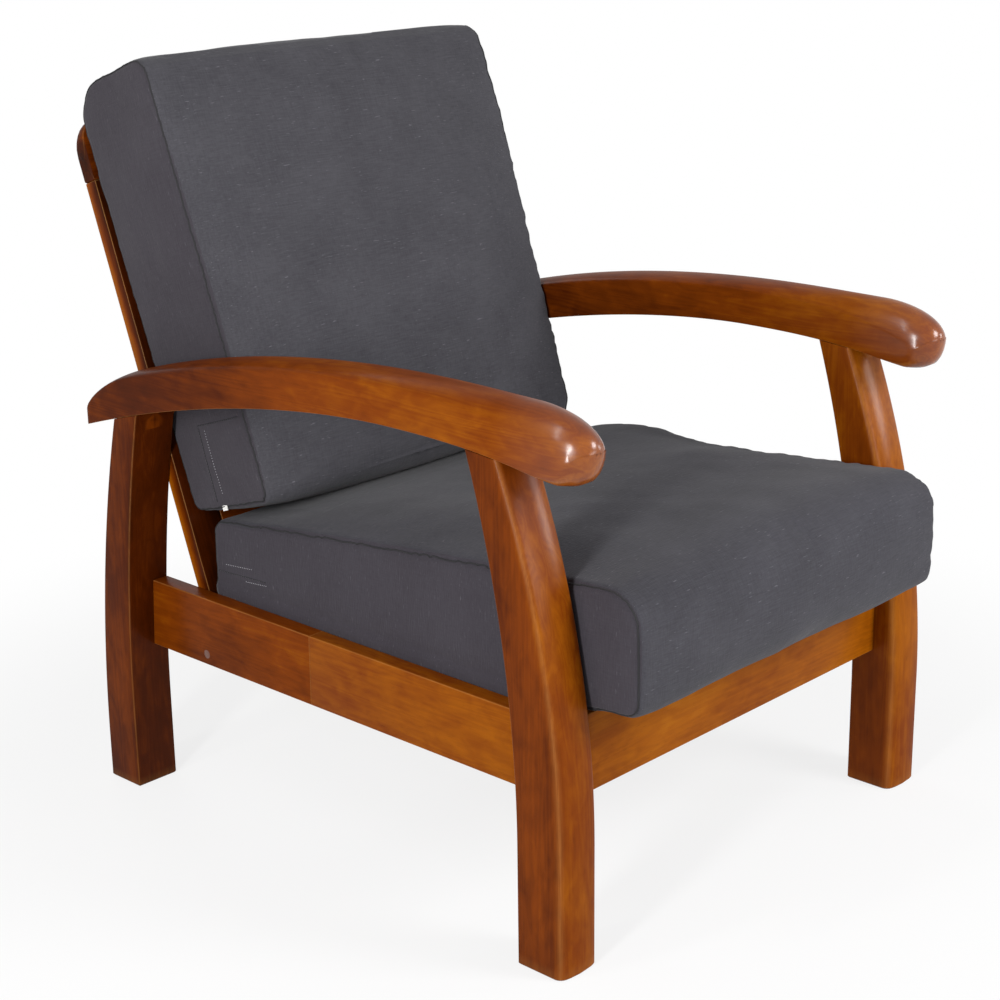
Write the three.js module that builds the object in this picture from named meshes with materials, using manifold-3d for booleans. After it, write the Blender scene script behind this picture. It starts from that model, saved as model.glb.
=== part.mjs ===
// Fireside chair: a bowed hardwood frame with a raked, slatted back and two loose box cushions.
// Millimetres, +Z up, the sitter faces -Y. The origin is on the floor, under the middle of the chair's box.
// Left and right are the sitter's own, so the right side of the chair is at -X.

import * as THREE from "three";
import { mergeVertices } from "three/addons/utils/BufferGeometryUtils.js";
import Module from "manifold-3d";

const wasm = await Module();
wasm.setup();

// Driving sizes of the whole frame.
const CLEAR_WIDTH = 560;
const LEG_WIDTH = 60;
const FOOT_SPACING = 716;
const RAIL_TOP = 272.5;
const RAIL_THICKNESS = 23;
const FIT = 0.3;
const OVERRUN = 10;

// Front leg: straight at the foot, then bowed back. Its rear face bows on a longer arc, so the leg slims
// upwards.
const FRONT_FOOT_DEPTH = 60;
const FRONT_BOW_START = 138;
const FRONT_FACE_RADIUS = 1105;
const FRONT_BACK_RADIUS = 1395;
const FRONT_FACE_CROWN = 1;
const FRONT_CORNER_FOOT = 2.5;
const FRONT_CORNER_TOP = 6;

// Rear leg: bowed forwards on both faces.
const REAR_FOOT_DEPTH = 57;
const REAR_FACE_BOW_START = 115;
const REAR_FACE_RADIUS = 1668;
const REAR_BACK_BOW_START = 58;
const REAR_BACK_RADIUS = 1632;

// Edges that all four legs share.
const LEG_ARRIS = 2.5;
const FOOT_CHAMFER = 2;
const LEG_STEPS = 14;

// Arm: flat sides, a crowned top, and an underside that arches between the nose and the tail.
const ARM_REACH_FRONT = 27;
const UNDERSIDE_TOP = 564.8;
const UNDERSIDE_PEAK = 235;
const UNDERSIDE_REAR_DROP = 95;
const UNDERSIDE_FRONT_DROP = 27;
const SIDE_HEIGHT = 41.7;
const SIDE_REAR_GROWTH = 6;
const SIDE_FRONT_LOSS = 24;
const CROWN_TOP = 618.5;
const CROWN_PEAK = 125;
const CROWN_REAR_DROP = 99;
const SWEEP_SHARE = 1.78;
const FRONT_SWEEP_SHARE = 2.6;
const FRONT_LOSS_SHARE = 3;
const CROWN_SWEEP_SHARE = 2.4;
const NOSE_LIFT = 15;
const NOSE_PLAN_LENGTH = 32;
const NOSE_TOP_LENGTH = 84;
const NOSE_UNDER_LENGTH = 40;
const NOSE_EDGE = 14;
const TAIL_LENGTH = 90;
const TAIL_FLAT_SHARE = 0.2;
const TAIL_PLAN_LENGTH = 9;
const TAIL_PLAN_SHARE = 0.8;
const ARM_EDGE = 1.2;
const NOSE_SHARES = [0.015, 0.06, 0.14, 0.24, 0.36, 0.5, 0.66, 0.83, 1];
const SWEEP_STEPS = 17;
const CROWN_STEPS = 8;
const TAIL_SHARES = [0.3, 0.55, 0.75, 0.9, 1];

// Seat frame.
const SIDE_RAIL_HEIGHT = 87;
const FRONT_RAIL_HEIGHT = 90.5;
const FRONT_RAIL_SETBACK = 29.3;
const RAIL_EDGE = 1.8;
const TENON_LENGTH = 12;
const TENON_THICKNESS = 9;
const TENON_SHOULDER = 12;
const CLEAT_WIDTH = 22;
const CLEAT_HEIGHT = 25;
const SLAT_COUNT = 7;
const SLAT_WIDTH = 50;
const SLAT_THICKNESS = 14;
const SLAT_EDGE = 3;
const SLAT_END_GAP = 8;
const BLOCK_REACH = 46;
const BLOCK_FLAT = 8;
const BLOCK_HEIGHT = 34;
const BLOCK_LIFT = 10;

// Back frame, measured up the rake from the line where its front plane passes the tops of the rails.
const RAKE = THREE.MathUtils.degToRad(19.7);
const BACK_INSET = 88.6;
const BACK_THICKNESS = 21;
const BACK_EDGE = 1.5;
const STILE_WIDTH = 48;
const STILE_BELOW = 84;
const STILE_ABOVE = 517.4;
const STILE_TENON_WIDTH = 28;
const STILE_TENON_LENGTH = 34;
const CREST_HEIGHT = 74;
const CREST_CORNER = 26;
const CREST_BACK_ROUND = 16;
const CREST_FRONT_ROUND = 4;
const LOWER_RAIL_LIFT = 50;
const LOWER_RAIL_HEIGHT = 50;
const BACK_SLAT_COUNT = 5;
const BACK_SLAT_WIDTH = 42;
const BACK_SLAT_THICKNESS = 10;

// Fastenings.
const STUD_RADIUS = 4;
const STUD_IN_ARM = 22;
const STUD_BELOW_NUT = 1.5;
const NUT_RADIUS = 6.8;
const NUT_HEIGHT = 6;
const POCKET_RADIUS = 8.8;
const POCKET_BELOW_ARM = 13.5;
const SCREW_RADIUS = 3;
const SCREW_HEAD_RADIUS = 5.5;
const SCREW_HEAD_HEIGHT = 3.5;
const SCREW_POINT = 5;
const PLUG_HEIGHT = 5;
const FOOT_SCREW_LENGTH = 45;
const FOOT_SCREW_LIFT = 9;
const FOOT_SCREW_DEPTH_SHARE = 0.36;
const BACK_SCREW_LENGTH = 80;
const BACK_SCREW_PLACE = 191;
const ROUND_PARTS = 16;

// Both cushions: a fabric cover over a foam core, with a zip in the boxing that nobody sees.
const COVER_THICKNESS = 2;
const FOAM_GAP = 0.5;
const DRAW_IN = 4;
const GUSSET_SWELL = 1.5;
const GUSSET_INNER_SHARE = 0.55;
const CROWN_FLAT_SHARE = 6;
const CROWN_SOFT_SHARE = 0.7;
const RING_SHARES = [0, 0.3, 0.6, 0.82, 0.94, 1];
const ZIP_LENGTH = 320;
const ZIP_SLOT = 6;
const ZIP_TAPE = 1.5;
const SLIDER_LENGTH = 12;
const SLIDER_HEIGHT = 9;
const SLIDER_THICKNESS = 3.5;
const SLIDER_PARK = 14;
const TAB_LENGTH = 17;
const TAB_WIDTH = 7;
const TAB_THICKNESS = 1.2;
const TAB_BAR = 1.4;
const EYE_WIDTH = 3.4;
const EYE_HEIGHT = 4.4;
const BRIDGE_WIDTH = 2.4;
const BRIDGE_BAR = 1.2;

// Seat cushion.
const SEAT_SIDE_GAP = 3.5;
const SEAT_OVERHANG = 53;
const SEAT_REAR_GAP = 7.4;
const SEAT_FRONT_TOP = 431;
const SEAT_REAR_TOP = 367;
const SEAT_FRONT_TOP_ROUND = 44;
const SEAT_NOSE_BOTTOM = 296;
const SEAT_NOSE_START = 125;
const SEAT_NOSE_BEND = 300;
const SEAT_FRONT_BOTTOM_ROUND = 24;
const SEAT_REAR_ROUND = 20;
const SEAT_CROWN = 20;
const SEAT_ZIP_SHARE = 0.565;

// Back cushion, in the raked frame.
const BACK_SIDE_GAP = 9;
const BACK_CUSHION_START = 106;
const BACK_CUSHION_END = 638;
const BACK_CUSHION_FRONT_DROP = 12;
const BACK_BOTTOM_THICKNESS = 145;
const BACK_TOP_THICKNESS = 154;
const BACK_TOP_FRONT_ROUND = 34;
const BACK_TOP_REAR_ROUND = 40;
const BACK_SPREAD = 11;
const BACK_BOTTOM_ROUND = 14;
const BACK_CROWN = 24;
const BACK_ZIP_PLACE = 30;
const SEATING_STEPS = 3;
const LABEL_PLACE = 61;
const LABEL_LENGTH = 9;
const LABEL_SEWN = 4;
const LABEL_WIDTH = 9;
const LABEL_THICKNESS = 0.8;

// Finishes, one entry for each material.
const LACQUERED_WOOD = { color: "#7d4220", roughness: 0.3, metalness: 0 };
const DARK_WOOD = { color: "#4a2812", roughness: 0.4, metalness: 0 };
const PLAIN_WOOD = { color: "#b08a5c", roughness: 0.75, metalness: 0 };
const CHARCOAL_WEAVE = { color: "#4b4a50", roughness: 0.95, metalness: 0 };
const FOAM = { color: "#d8d2b8", roughness: 1, metalness: 0 };
const ZINC = { color: "#a9abab", roughness: 0.35, metalness: 1 };
const NYLON = { color: "#2b2b2e", roughness: 0.6, metalness: 0 };
const SATIN_TAPE = { color: "#e9e8e4", roughness: 0.7, metalness: 0 };

// Places worked out from the sizes above.
const HALF_CLEAR = CLEAR_WIDTH / 2;
const LEG_CENTRE = HALF_CLEAR + LEG_WIDTH / 2;
const RAIL_OUTER = HALF_CLEAR + RAIL_THICKNESS;
const ARM_REACH_REAR = FOOT_SPACING + REAR_FOOT_DEPTH;
const NOSE_HEIGHT = UNDERSIDE_TOP + NOSE_LIFT;
const BACK_FOOT = FOOT_SPACING - BACK_INSET;
const FRAME_HALF = HALF_CLEAR - FIT;
const STILE_CENTRE = FRAME_HALF - STILE_WIDTH / 2;
const FRONT_RAIL_BACK = FRONT_RAIL_SETBACK + RAIL_THICKNESS;
const REAR_RAIL_BACK = BACK_FOOT - STILE_BELOW * Math.sin(RAKE) - FIT;
const REAR_RAIL_FRONT = REAR_RAIL_BACK - RAIL_THICKNESS;
const SLAT_BOTTOM = RAIL_TOP - SLAT_THICKNESS;
const CLEAT_TOP = SLAT_BOTTOM - FIT;
const SEAT_BOTTOM = RAIL_TOP + FIT;
const SEAT_HALF_WIDTH = HALF_CLEAR - SEAT_SIDE_GAP;
const SEAT_REAR = BACK_FOOT - SEAT_REAR_GAP;
const SEAT_ZIP_HEIGHT = THREE.MathUtils.lerp(SEAT_BOTTOM, SEAT_REAR_TOP, SEAT_ZIP_SHARE);
const BACK_HALF_WIDTH = HALF_CLEAR - BACK_SIDE_GAP;
const LOWER_RAIL_TOP = LOWER_RAIL_LIFT + LOWER_RAIL_HEIGHT;
const CREST_BOTTOM = STILE_ABOVE;
const BACK_MIDDLE = BACK_THICKNESS / 2;
const PLUG_RADIUS = SCREW_HEAD_RADIUS;
const ARC_SHARES = [0, 1 / 3, 2 / 3, 1];

function vector(x, y, z) {
  return new THREE.Vector3(x, y, z);
}

// A closed body from points and triangles, turned so that its faces point out.
function closedBody(points, indices) {
  let volume = 0;
  for (let i = 0; i < indices.length; i += 3) {
    const [a, b, c] = [points[indices[i]], points[indices[i + 1]], points[indices[i + 2]]];
    volume += a.dot(b.clone().cross(c));
  }
  const geometry = new THREE.BufferGeometry().setFromPoints(points);
  geometry.setIndex(volume < 0 ? indices.toReversed() : indices);
  return geometry;
}

// A skin through rings of the same number of points, closed by a fan at each end.
function loft(rings) {
  const points = rings.flat();
  const count = rings[0].length;
  const last = (rings.length - 1) * count;
  const indices = [];
  for (let start = 0; start < last; start += count) {
    for (let i = 0; i < count; i++) {
      const next = (i + 1) % count;
      indices.push(start + i, start + next, start + count + i);
      indices.push(start + next, start + count + next, start + count + i);
    }
  }
  for (const ring of [rings[0], rings.at(-1)]) {
    const middle = vector(0, 0, 0);
    ring.forEach((point) => middle.addScaledVector(point, 1 / count));
    points.push(middle);
  }
  for (let i = 0; i < count; i++) {
    const next = (i + 1) % count;
    indices.push(next, i, points.length - 2);
    indices.push(last + i, last + next, points.length - 1);
  }
  return closedBody(points, indices);
}

// Rounds the corners of a convex outline that is given anticlockwise. Each point keeps its outward normal,
// the number of the corner that it belongs to, and its share of the way round that corner.
function roundedLoop(corners) {
  const loop = [];
  corners.forEach(([x, y, radius], index) => {
    const at = new THREE.Vector2(x, y);
    const [beforeX, beforeY] = corners.at(index - 1);
    const [afterX, afterY] = corners[(index + 1) % corners.length];
    const arriving = at.clone().sub(new THREE.Vector2(beforeX, beforeY)).normalize();
    const leaving = new THREE.Vector2(afterX, afterY).sub(at).normalize();
    const turn = Math.acos(THREE.MathUtils.clamp(arriving.dot(leaving), -1, 1));
    const first = new THREE.Vector2(arriving.y, -arriving.x);
    const centre = at.clone();
    centre.addScaledVector(arriving, -radius * Math.tan(turn / 2));
    centre.addScaledVector(first, -radius);
    for (const share of radius > 0 ? ARC_SHARES : [1 / 2]) {
      const normal = first.clone().rotateAround(new THREE.Vector2(0, 0), turn * share);
      const point = radius > 0 ? centre.clone().addScaledVector(normal, radius) : at;
      loop.push({ point, normal, corner: index, share });
    }
  });
  return loop;
}

function roundedShape(corners) {
  return new THREE.Shape(roundedLoop(corners).map(({ point }) => point));
}

// The corners of a rectangle about a middle, all rounded alike.
function rectangle(middleX, middleY, width, height, radius) {
  const [x, y] = [width / 2, height / 2];
  return [
    [middleX - x, middleY - y, radius],
    [middleX + x, middleY - y, radius],
    [middleX + x, middleY + y, radius],
    [middleX - x, middleY + y, radius],
  ];
}

function extrude(shape, length) {
  return new THREE.ExtrudeGeometry(shape, { depth: length, steps: 1, bevelEnabled: false });
}

// A profile in the YZ plane, run along X from one end to the other.
function runAlongX(corners, from, to) {
  const geometry = extrude(roundedShape(corners), Math.abs(to - from));
  const turn = new THREE.Matrix4().makeBasis(vector(0, 1, 0), vector(0, 0, 1), vector(1, 0, 0));
  return geometry.applyMatrix4(turn).translate(Math.min(from, to), 0, 0);
}

// A profile in the XZ plane, run along Y.
function runAlongY(corners, from, to) {
  const geometry = extrude(roundedShape(corners), to - from);
  const turn = new THREE.Matrix4().makeBasis(vector(1, 0, 0), vector(0, 0, 1), vector(0, -1, 0));
  return geometry.applyMatrix4(turn).translate(0, to, 0);
}

// A profile in the XY plane, run up Z.
function runAlongZ(corners, from, to) {
  return extrude(roundedShape(corners), to - from).translate(0, 0, from);
}

function box(low, high) {
  const size = high.map((value, axis) => Math.abs(value - low[axis]));
  const middle = high.map((value, axis) => (value + low[axis]) / 2);
  return new THREE.BoxGeometry(...size).translate(...middle);
}

function cylinderZ(radius, x, y, from, to) {
  const geometry = new THREE.CylinderGeometry(radius, radius, to - from, ROUND_PARTS);
  return geometry.rotateX(Math.PI / 2).translate(x, y, (from + to) / 2);
}

function cylinderY(radius, x, z, from, to) {
  const geometry = new THREE.CylinderGeometry(radius, radius, to - from, ROUND_PARTS);
  return geometry.translate(x, (from + to) / 2, z);
}

function cylinderX(radius, y, z, from, to) {
  const geometry = new THREE.CylinderGeometry(radius, radius, Math.abs(to - from), ROUND_PARTS);
  return geometry.rotateZ(Math.PI / 2).translate((from + to) / 2, y, z);
}

function toSolid(geometry) {
  const bare = geometry.clone();
  bare.deleteAttribute("normal");
  bare.deleteAttribute("uv");
  const merged = mergeVertices(bare);
  return new wasm.Manifold(new wasm.Mesh({
    numProp: 3,
    vertProperties: new Float32Array(merged.attributes.position.array),
    triVerts: new Uint32Array(merged.index.array),
  }));
}

function toGeometry(body) {
  const mesh = body.getMesh();
  const geometry = new THREE.BufferGeometry();
  geometry.setAttribute("position", new THREE.BufferAttribute(mesh.vertProperties, 3));
  geometry.setIndex(new THREE.BufferAttribute(mesh.triVerts, 1));
  return geometry;
}

function cut(geometry, ...tools) {
  return toGeometry(tools.reduce((body, tool) => body.subtract(toSolid(tool)), toSolid(geometry)));
}

function join(geometry, ...others) {
  return toGeometry(others.reduce((body, other) => body.add(toSolid(other)), toSolid(geometry)));
}

function common(geometry, other) {
  return toGeometry(toSolid(geometry).intersect(toSolid(other)));
}

function piece(name, geometry, finish) {
  const mesh = new THREE.Mesh(geometry, new THREE.MeshStandardMaterial(finish));
  mesh.name = name;
  return mesh;
}

// How far an arc of the given radius has left its tangent after a run along it.
function bow(run, radius) {
  const along = Math.max(run, 0);
  return radius - Math.sqrt(radius * radius - along * along);
}

// A sweep that leaves its peak level and has fallen by the whole drop at the end of its reach.
function sweep(distance, reach, drop, share) {
  return drop * Math.pow(Math.max(distance, 0) / reach, share);
}

// A quarter of an ellipse: nothing at the tip, the whole size one length in from it.
function roundEnd(distance, length) {
  const left = THREE.MathUtils.clamp(1 - distance / length, 0, 1);
  return Math.sqrt(1 - left * left);
}

// Leg faces, seen from the side.
function frontLegFace(z) {
  return bow(z - FRONT_BOW_START, FRONT_FACE_RADIUS);
}

function frontLegBack(z) {
  return FRONT_FOOT_DEPTH + bow(z - FRONT_BOW_START, FRONT_BACK_RADIUS);
}

function rearLegFace(z) {
  return FOOT_SPACING - bow(z - REAR_FACE_BOW_START, REAR_FACE_RADIUS);
}

function rearLegBack(z) {
  return FOOT_SPACING + REAR_FOOT_DEPTH - bow(z - REAR_BACK_BOW_START, REAR_BACK_RADIUS);
}

// Arm lines, seen from the side, before its ends are rounded.
function undersideAt(y) {
  const past = y - UNDERSIDE_PEAK;
  const rear = sweep(past, ARM_REACH_REAR - UNDERSIDE_PEAK, UNDERSIDE_REAR_DROP, SWEEP_SHARE);
  const front = sweep(-past, UNDERSIDE_PEAK + ARM_REACH_FRONT, UNDERSIDE_FRONT_DROP, FRONT_SWEEP_SHARE);
  return UNDERSIDE_TOP - rear - front;
}

function shoulderAt(y) {
  const past = y - UNDERSIDE_PEAK;
  const gain = sweep(past, ARM_REACH_REAR - UNDERSIDE_PEAK, SIDE_REAR_GROWTH, SWEEP_SHARE);
  const loss = sweep(-past, UNDERSIDE_PEAK + ARM_REACH_FRONT, SIDE_FRONT_LOSS, FRONT_LOSS_SHARE);
  return undersideAt(y) + SIDE_HEIGHT + gain - loss;
}

function crownAt(y) {
  const reach = ARM_REACH_REAR - CROWN_PEAK;
  return CROWN_TOP - sweep(y - CROWN_PEAK, reach, CROWN_REAR_DROP, CROWN_SWEEP_SHARE);
}

// One cross-section of the arm, as points across and up, drawn in towards the nose and rounded over the
// tail.
function armRing(centre, y) {
  const reach = y + ARM_REACH_FRONT;
  const plan = roundEnd(reach, NOSE_PLAN_LENGTH);
  const over = roundEnd(reach, NOSE_TOP_LENGTH);
  const under = roundEnd(reach, NOSE_UNDER_LENGTH);
  const left = ARM_REACH_REAR - y;
  const tail = TAIL_FLAT_SHARE + (1 - TAIL_FLAT_SHARE) * roundEnd(left, TAIL_LENGTH);
  const tailPlan = TAIL_PLAN_SHARE + (1 - TAIL_PLAN_SHARE) * roundEnd(left, TAIL_PLAN_LENGTH);
  const bottom = undersideAt(y);
  const shoulder = bottom + (shoulderAt(y) - bottom) * tail;
  const rise = (crownAt(y) - shoulderAt(y)) * tail;
  const half = LEG_WIDTH / 2;
  const edge = ARM_EDGE + (NOSE_EDGE - ARM_EDGE) * (1 - over);
  const outline = [];
  for (const side of [-1, 1]) {
    const angles = side < 0 ? ARC_SHARES.toReversed() : ARC_SHARES;
    for (const share of angles) {
      const angle = (share * Math.PI) / 2;
      outline.push([side * (half - edge + edge * Math.sin(angle)), bottom + edge - edge * Math.cos(angle)]);
    }
  }
  for (let step = 0; step <= CROWN_STEPS; step++) {
    const angle = (step * Math.PI) / CROWN_STEPS;
    outline.push([half * Math.cos(angle), shoulder + rise * Math.sin(angle)]);
  }
  return outline.map(([x, z]) => {
    const squeeze = z > NOSE_HEIGHT ? over : under;
    const height = reach < NOSE_TOP_LENGTH ? NOSE_HEIGHT + (z - NOSE_HEIGHT) * squeeze : z;
    return vector(centre + x * plan * tailPlan, y, height);
  });
}

// Stations along the arm, closer together where its ends round over.
function armStations() {
  const noseEnd = NOSE_TOP_LENGTH - ARM_REACH_FRONT;
  const tailStart = ARM_REACH_REAR - TAIL_LENGTH;
  const nose = NOSE_SHARES.map((share) => share * NOSE_TOP_LENGTH - ARM_REACH_FRONT);
  const tail = TAIL_SHARES.map((share) => tailStart + share * TAIL_LENGTH);
  const long = [];
  for (let step = 1; step <= SWEEP_STEPS; step++) {
    long.push(noseEnd + ((tailStart - noseEnd) * step) / SWEEP_STEPS);
  }
  return [...nose, ...long, ...tail];
}

// The side profile of everything above the arm's underside, for cutting the top of a leg to it.
function aboveUnderside(from, to) {
  const outline = [];
  for (let step = 0; step <= LEG_STEPS; step++) {
    const y = from + ((to - from) * step) / LEG_STEPS;
    outline.push([y, undersideAt(y) - FIT, 0]);
  }
  outline.push([to, CROWN_TOP, 0], [from, CROWN_TOP, 0]);
  return outline;
}

// A leg as a skin over level sections. Front corners round more and more towards the top, and grow adds a
// clearance all round, for cutting what butts against the leg.
function legBlank(centre, faceAt, backAt, cornerFoot, cornerTop, crown, grow) {
  const rings = [];
  const top = UNDERSIDE_TOP + OVERRUN;
  const half = LEG_WIDTH / 2 + grow;
  for (let step = -1; step <= LEG_STEPS; step++) {
    const z = step < 0 ? 0 : FOOT_CHAMFER + ((top - FOOT_CHAMFER) * step) / LEG_STEPS;
    const inset = step < 0 ? FOOT_CHAMFER : 0;
    const corner = cornerFoot + ((cornerTop - cornerFoot) * z) / top - inset;
    const arris = Math.max(LEG_ARRIS - inset, 0);
    const [front, back] = [faceAt(z) - grow + inset, backAt(z) + grow - inset];
    const side = half - inset;
    const loop = roundedLoop([
      [-side, front + crown, corner],
      [-side / 2, front + crown / 4, 0],
      [0, front, 0],
      [side / 2, front + crown / 4, 0],
      [side, front + crown, corner],
      [side, back, arris],
      [-side, back, arris],
    ]);
    rings.push(loop.map(({ point }) => vector(centre + point.x, point.y, z)));
  }
  return loft(rings);
}

function frontLegBlank(centre, grow) {
  const corners = [FRONT_CORNER_FOOT, FRONT_CORNER_TOP];
  return legBlank(centre, frontLegFace, frontLegBack, ...corners, FRONT_FACE_CROWN, grow);
}

function rearLegBlank(centre, grow) {
  return legBlank(centre, rearLegFace, rearLegBack, LEG_ARRIS, LEG_ARRIS, 0, grow);
}

// The stud that draws an arm down on a leg: where it stands, and the pocket that its nut is reached through.
function studPlace(faceAt, backAt) {
  const head = (faceAt(UNDERSIDE_TOP) + backAt(UNDERSIDE_TOP)) / 2;
  const pocket = undersideAt(head) - POCKET_BELOW_ARM;
  const middle = (faceAt(pocket) + backAt(pocket)) / 2;
  const nutTop = pocket + Math.sqrt(POCKET_RADIUS ** 2 - NUT_RADIUS ** 2) - FIT;
  const bottom = nutTop - NUT_HEIGHT - STUD_BELOW_NUT;
  return { y: middle, pocket, nutTop, arm: undersideAt(middle), bottom };
}

function hexNut(x, place) {
  const shape = new THREE.Shape();
  const corners = [0, 1, 2, 3, 4, 5].map((step) => (step * Math.PI) / 3);
  shape.setFromPoints(corners.map((angle) => {
    return new THREE.Vector2(NUT_RADIUS * Math.cos(angle), NUT_RADIUS * Math.sin(angle));
  }));
  const nut = extrude(shape, NUT_HEIGHT).translate(x, place.y, place.nutTop - NUT_HEIGHT);
  return cut(nut, cylinderZ(STUD_RADIUS + FIT, x, place.y, place.bottom, place.arm));
}

// A round-headed screw, pointing up Z with its head's face at zero, as a profile turned about its axis.
function screw(length) {
  const profile = [
    [0, 0],
    [SCREW_HEAD_RADIUS - SCREW_HEAD_HEIGHT / 2, 0],
    [SCREW_HEAD_RADIUS, SCREW_HEAD_HEIGHT / 2],
    [SCREW_HEAD_RADIUS, SCREW_HEAD_HEIGHT],
    [SCREW_RADIUS, SCREW_HEAD_HEIGHT],
    [SCREW_RADIUS, length - SCREW_POINT],
    [0, length],
  ];
  const points = profile.map(([radius, along]) => new THREE.Vector2(radius, along));
  return new THREE.LatheGeometry(points, ROUND_PARTS).rotateX(Math.PI / 2);
}

// A screw laid along X, driven away from its head in the direction of the sign.
function screwAlongX(length, sign, x, y, z) {
  return screw(length).rotateY((sign * Math.PI) / 2).translate(x, y, z);
}

// A place in the raked back, seen in the upright frame.
function fromRake(depth, lift) {
  const y = BACK_FOOT + lift * Math.sin(RAKE) + depth * Math.cos(RAKE);
  const z = RAIL_TOP + lift * Math.cos(RAKE) - depth * Math.sin(RAKE);
  return { y, z };
}

// Where each screw of the back frame stands, as depth behind its front plane and lift up the rake.
const footScrew = {
  depth: BACK_THICKNESS * FOOT_SCREW_DEPTH_SHARE,
  lift: FOOT_SCREW_LIFT - STILE_BELOW,
};
const backScrew = { depth: BACK_MIDDLE, lift: BACK_SCREW_PLACE };

// Tongues that join the rails to the legs and to each other; grown by the fit they cut their own mortises.
function sideRailTenon(side, atFront, grow) {
  const middle = side * (HALF_CLEAR + RAIL_THICKNESS / 2);
  const half = TENON_THICKNESS / 2 + grow;
  const low = RAIL_TOP - SIDE_RAIL_HEIGHT + TENON_SHOULDER - grow;
  const high = RAIL_TOP - TENON_SHOULDER + grow;
  const face = atFront ? frontLegBack(low) : rearLegFace(low);
  const [inside, outside] = atFront ? [1, -1] : [-1, 1];
  const root = face + inside * OVERRUN;
  const tip = face + outside * (TENON_LENGTH + grow);
  return box([middle - half, Math.min(root, tip), low], [middle + half, Math.max(root, tip), high]);
}

function crossRailTenon(side, back, height, grow) {
  const middle = back - RAIL_THICKNESS / 2;
  const half = TENON_THICKNESS / 2 + grow;
  const low = RAIL_TOP - height + TENON_SHOULDER - grow;
  const high = RAIL_TOP - TENON_SHOULDER + grow;
  const ends = [side * (FRAME_HALF - OVERRUN), side * (HALF_CLEAR + TENON_LENGTH + grow)];
  return box([Math.min(...ends), middle - half, low], [Math.max(...ends), middle + half, high]);
}

// The section of a rail whose top is level with the others.
function railSection(middle, height) {
  return rectangle(middle, RAIL_TOP - height / 2, RAIL_THICKNESS, height, RAIL_EDGE);
}

function crossRail(back, height) {
  const section = railSection(back - RAIL_THICKNESS / 2, height);
  const board = runAlongX(section, -FRAME_HALF, FRAME_HALF);
  return join(board, crossRailTenon(-1, back, height, 0), crossRailTenon(1, back, height, 0));
}

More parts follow.
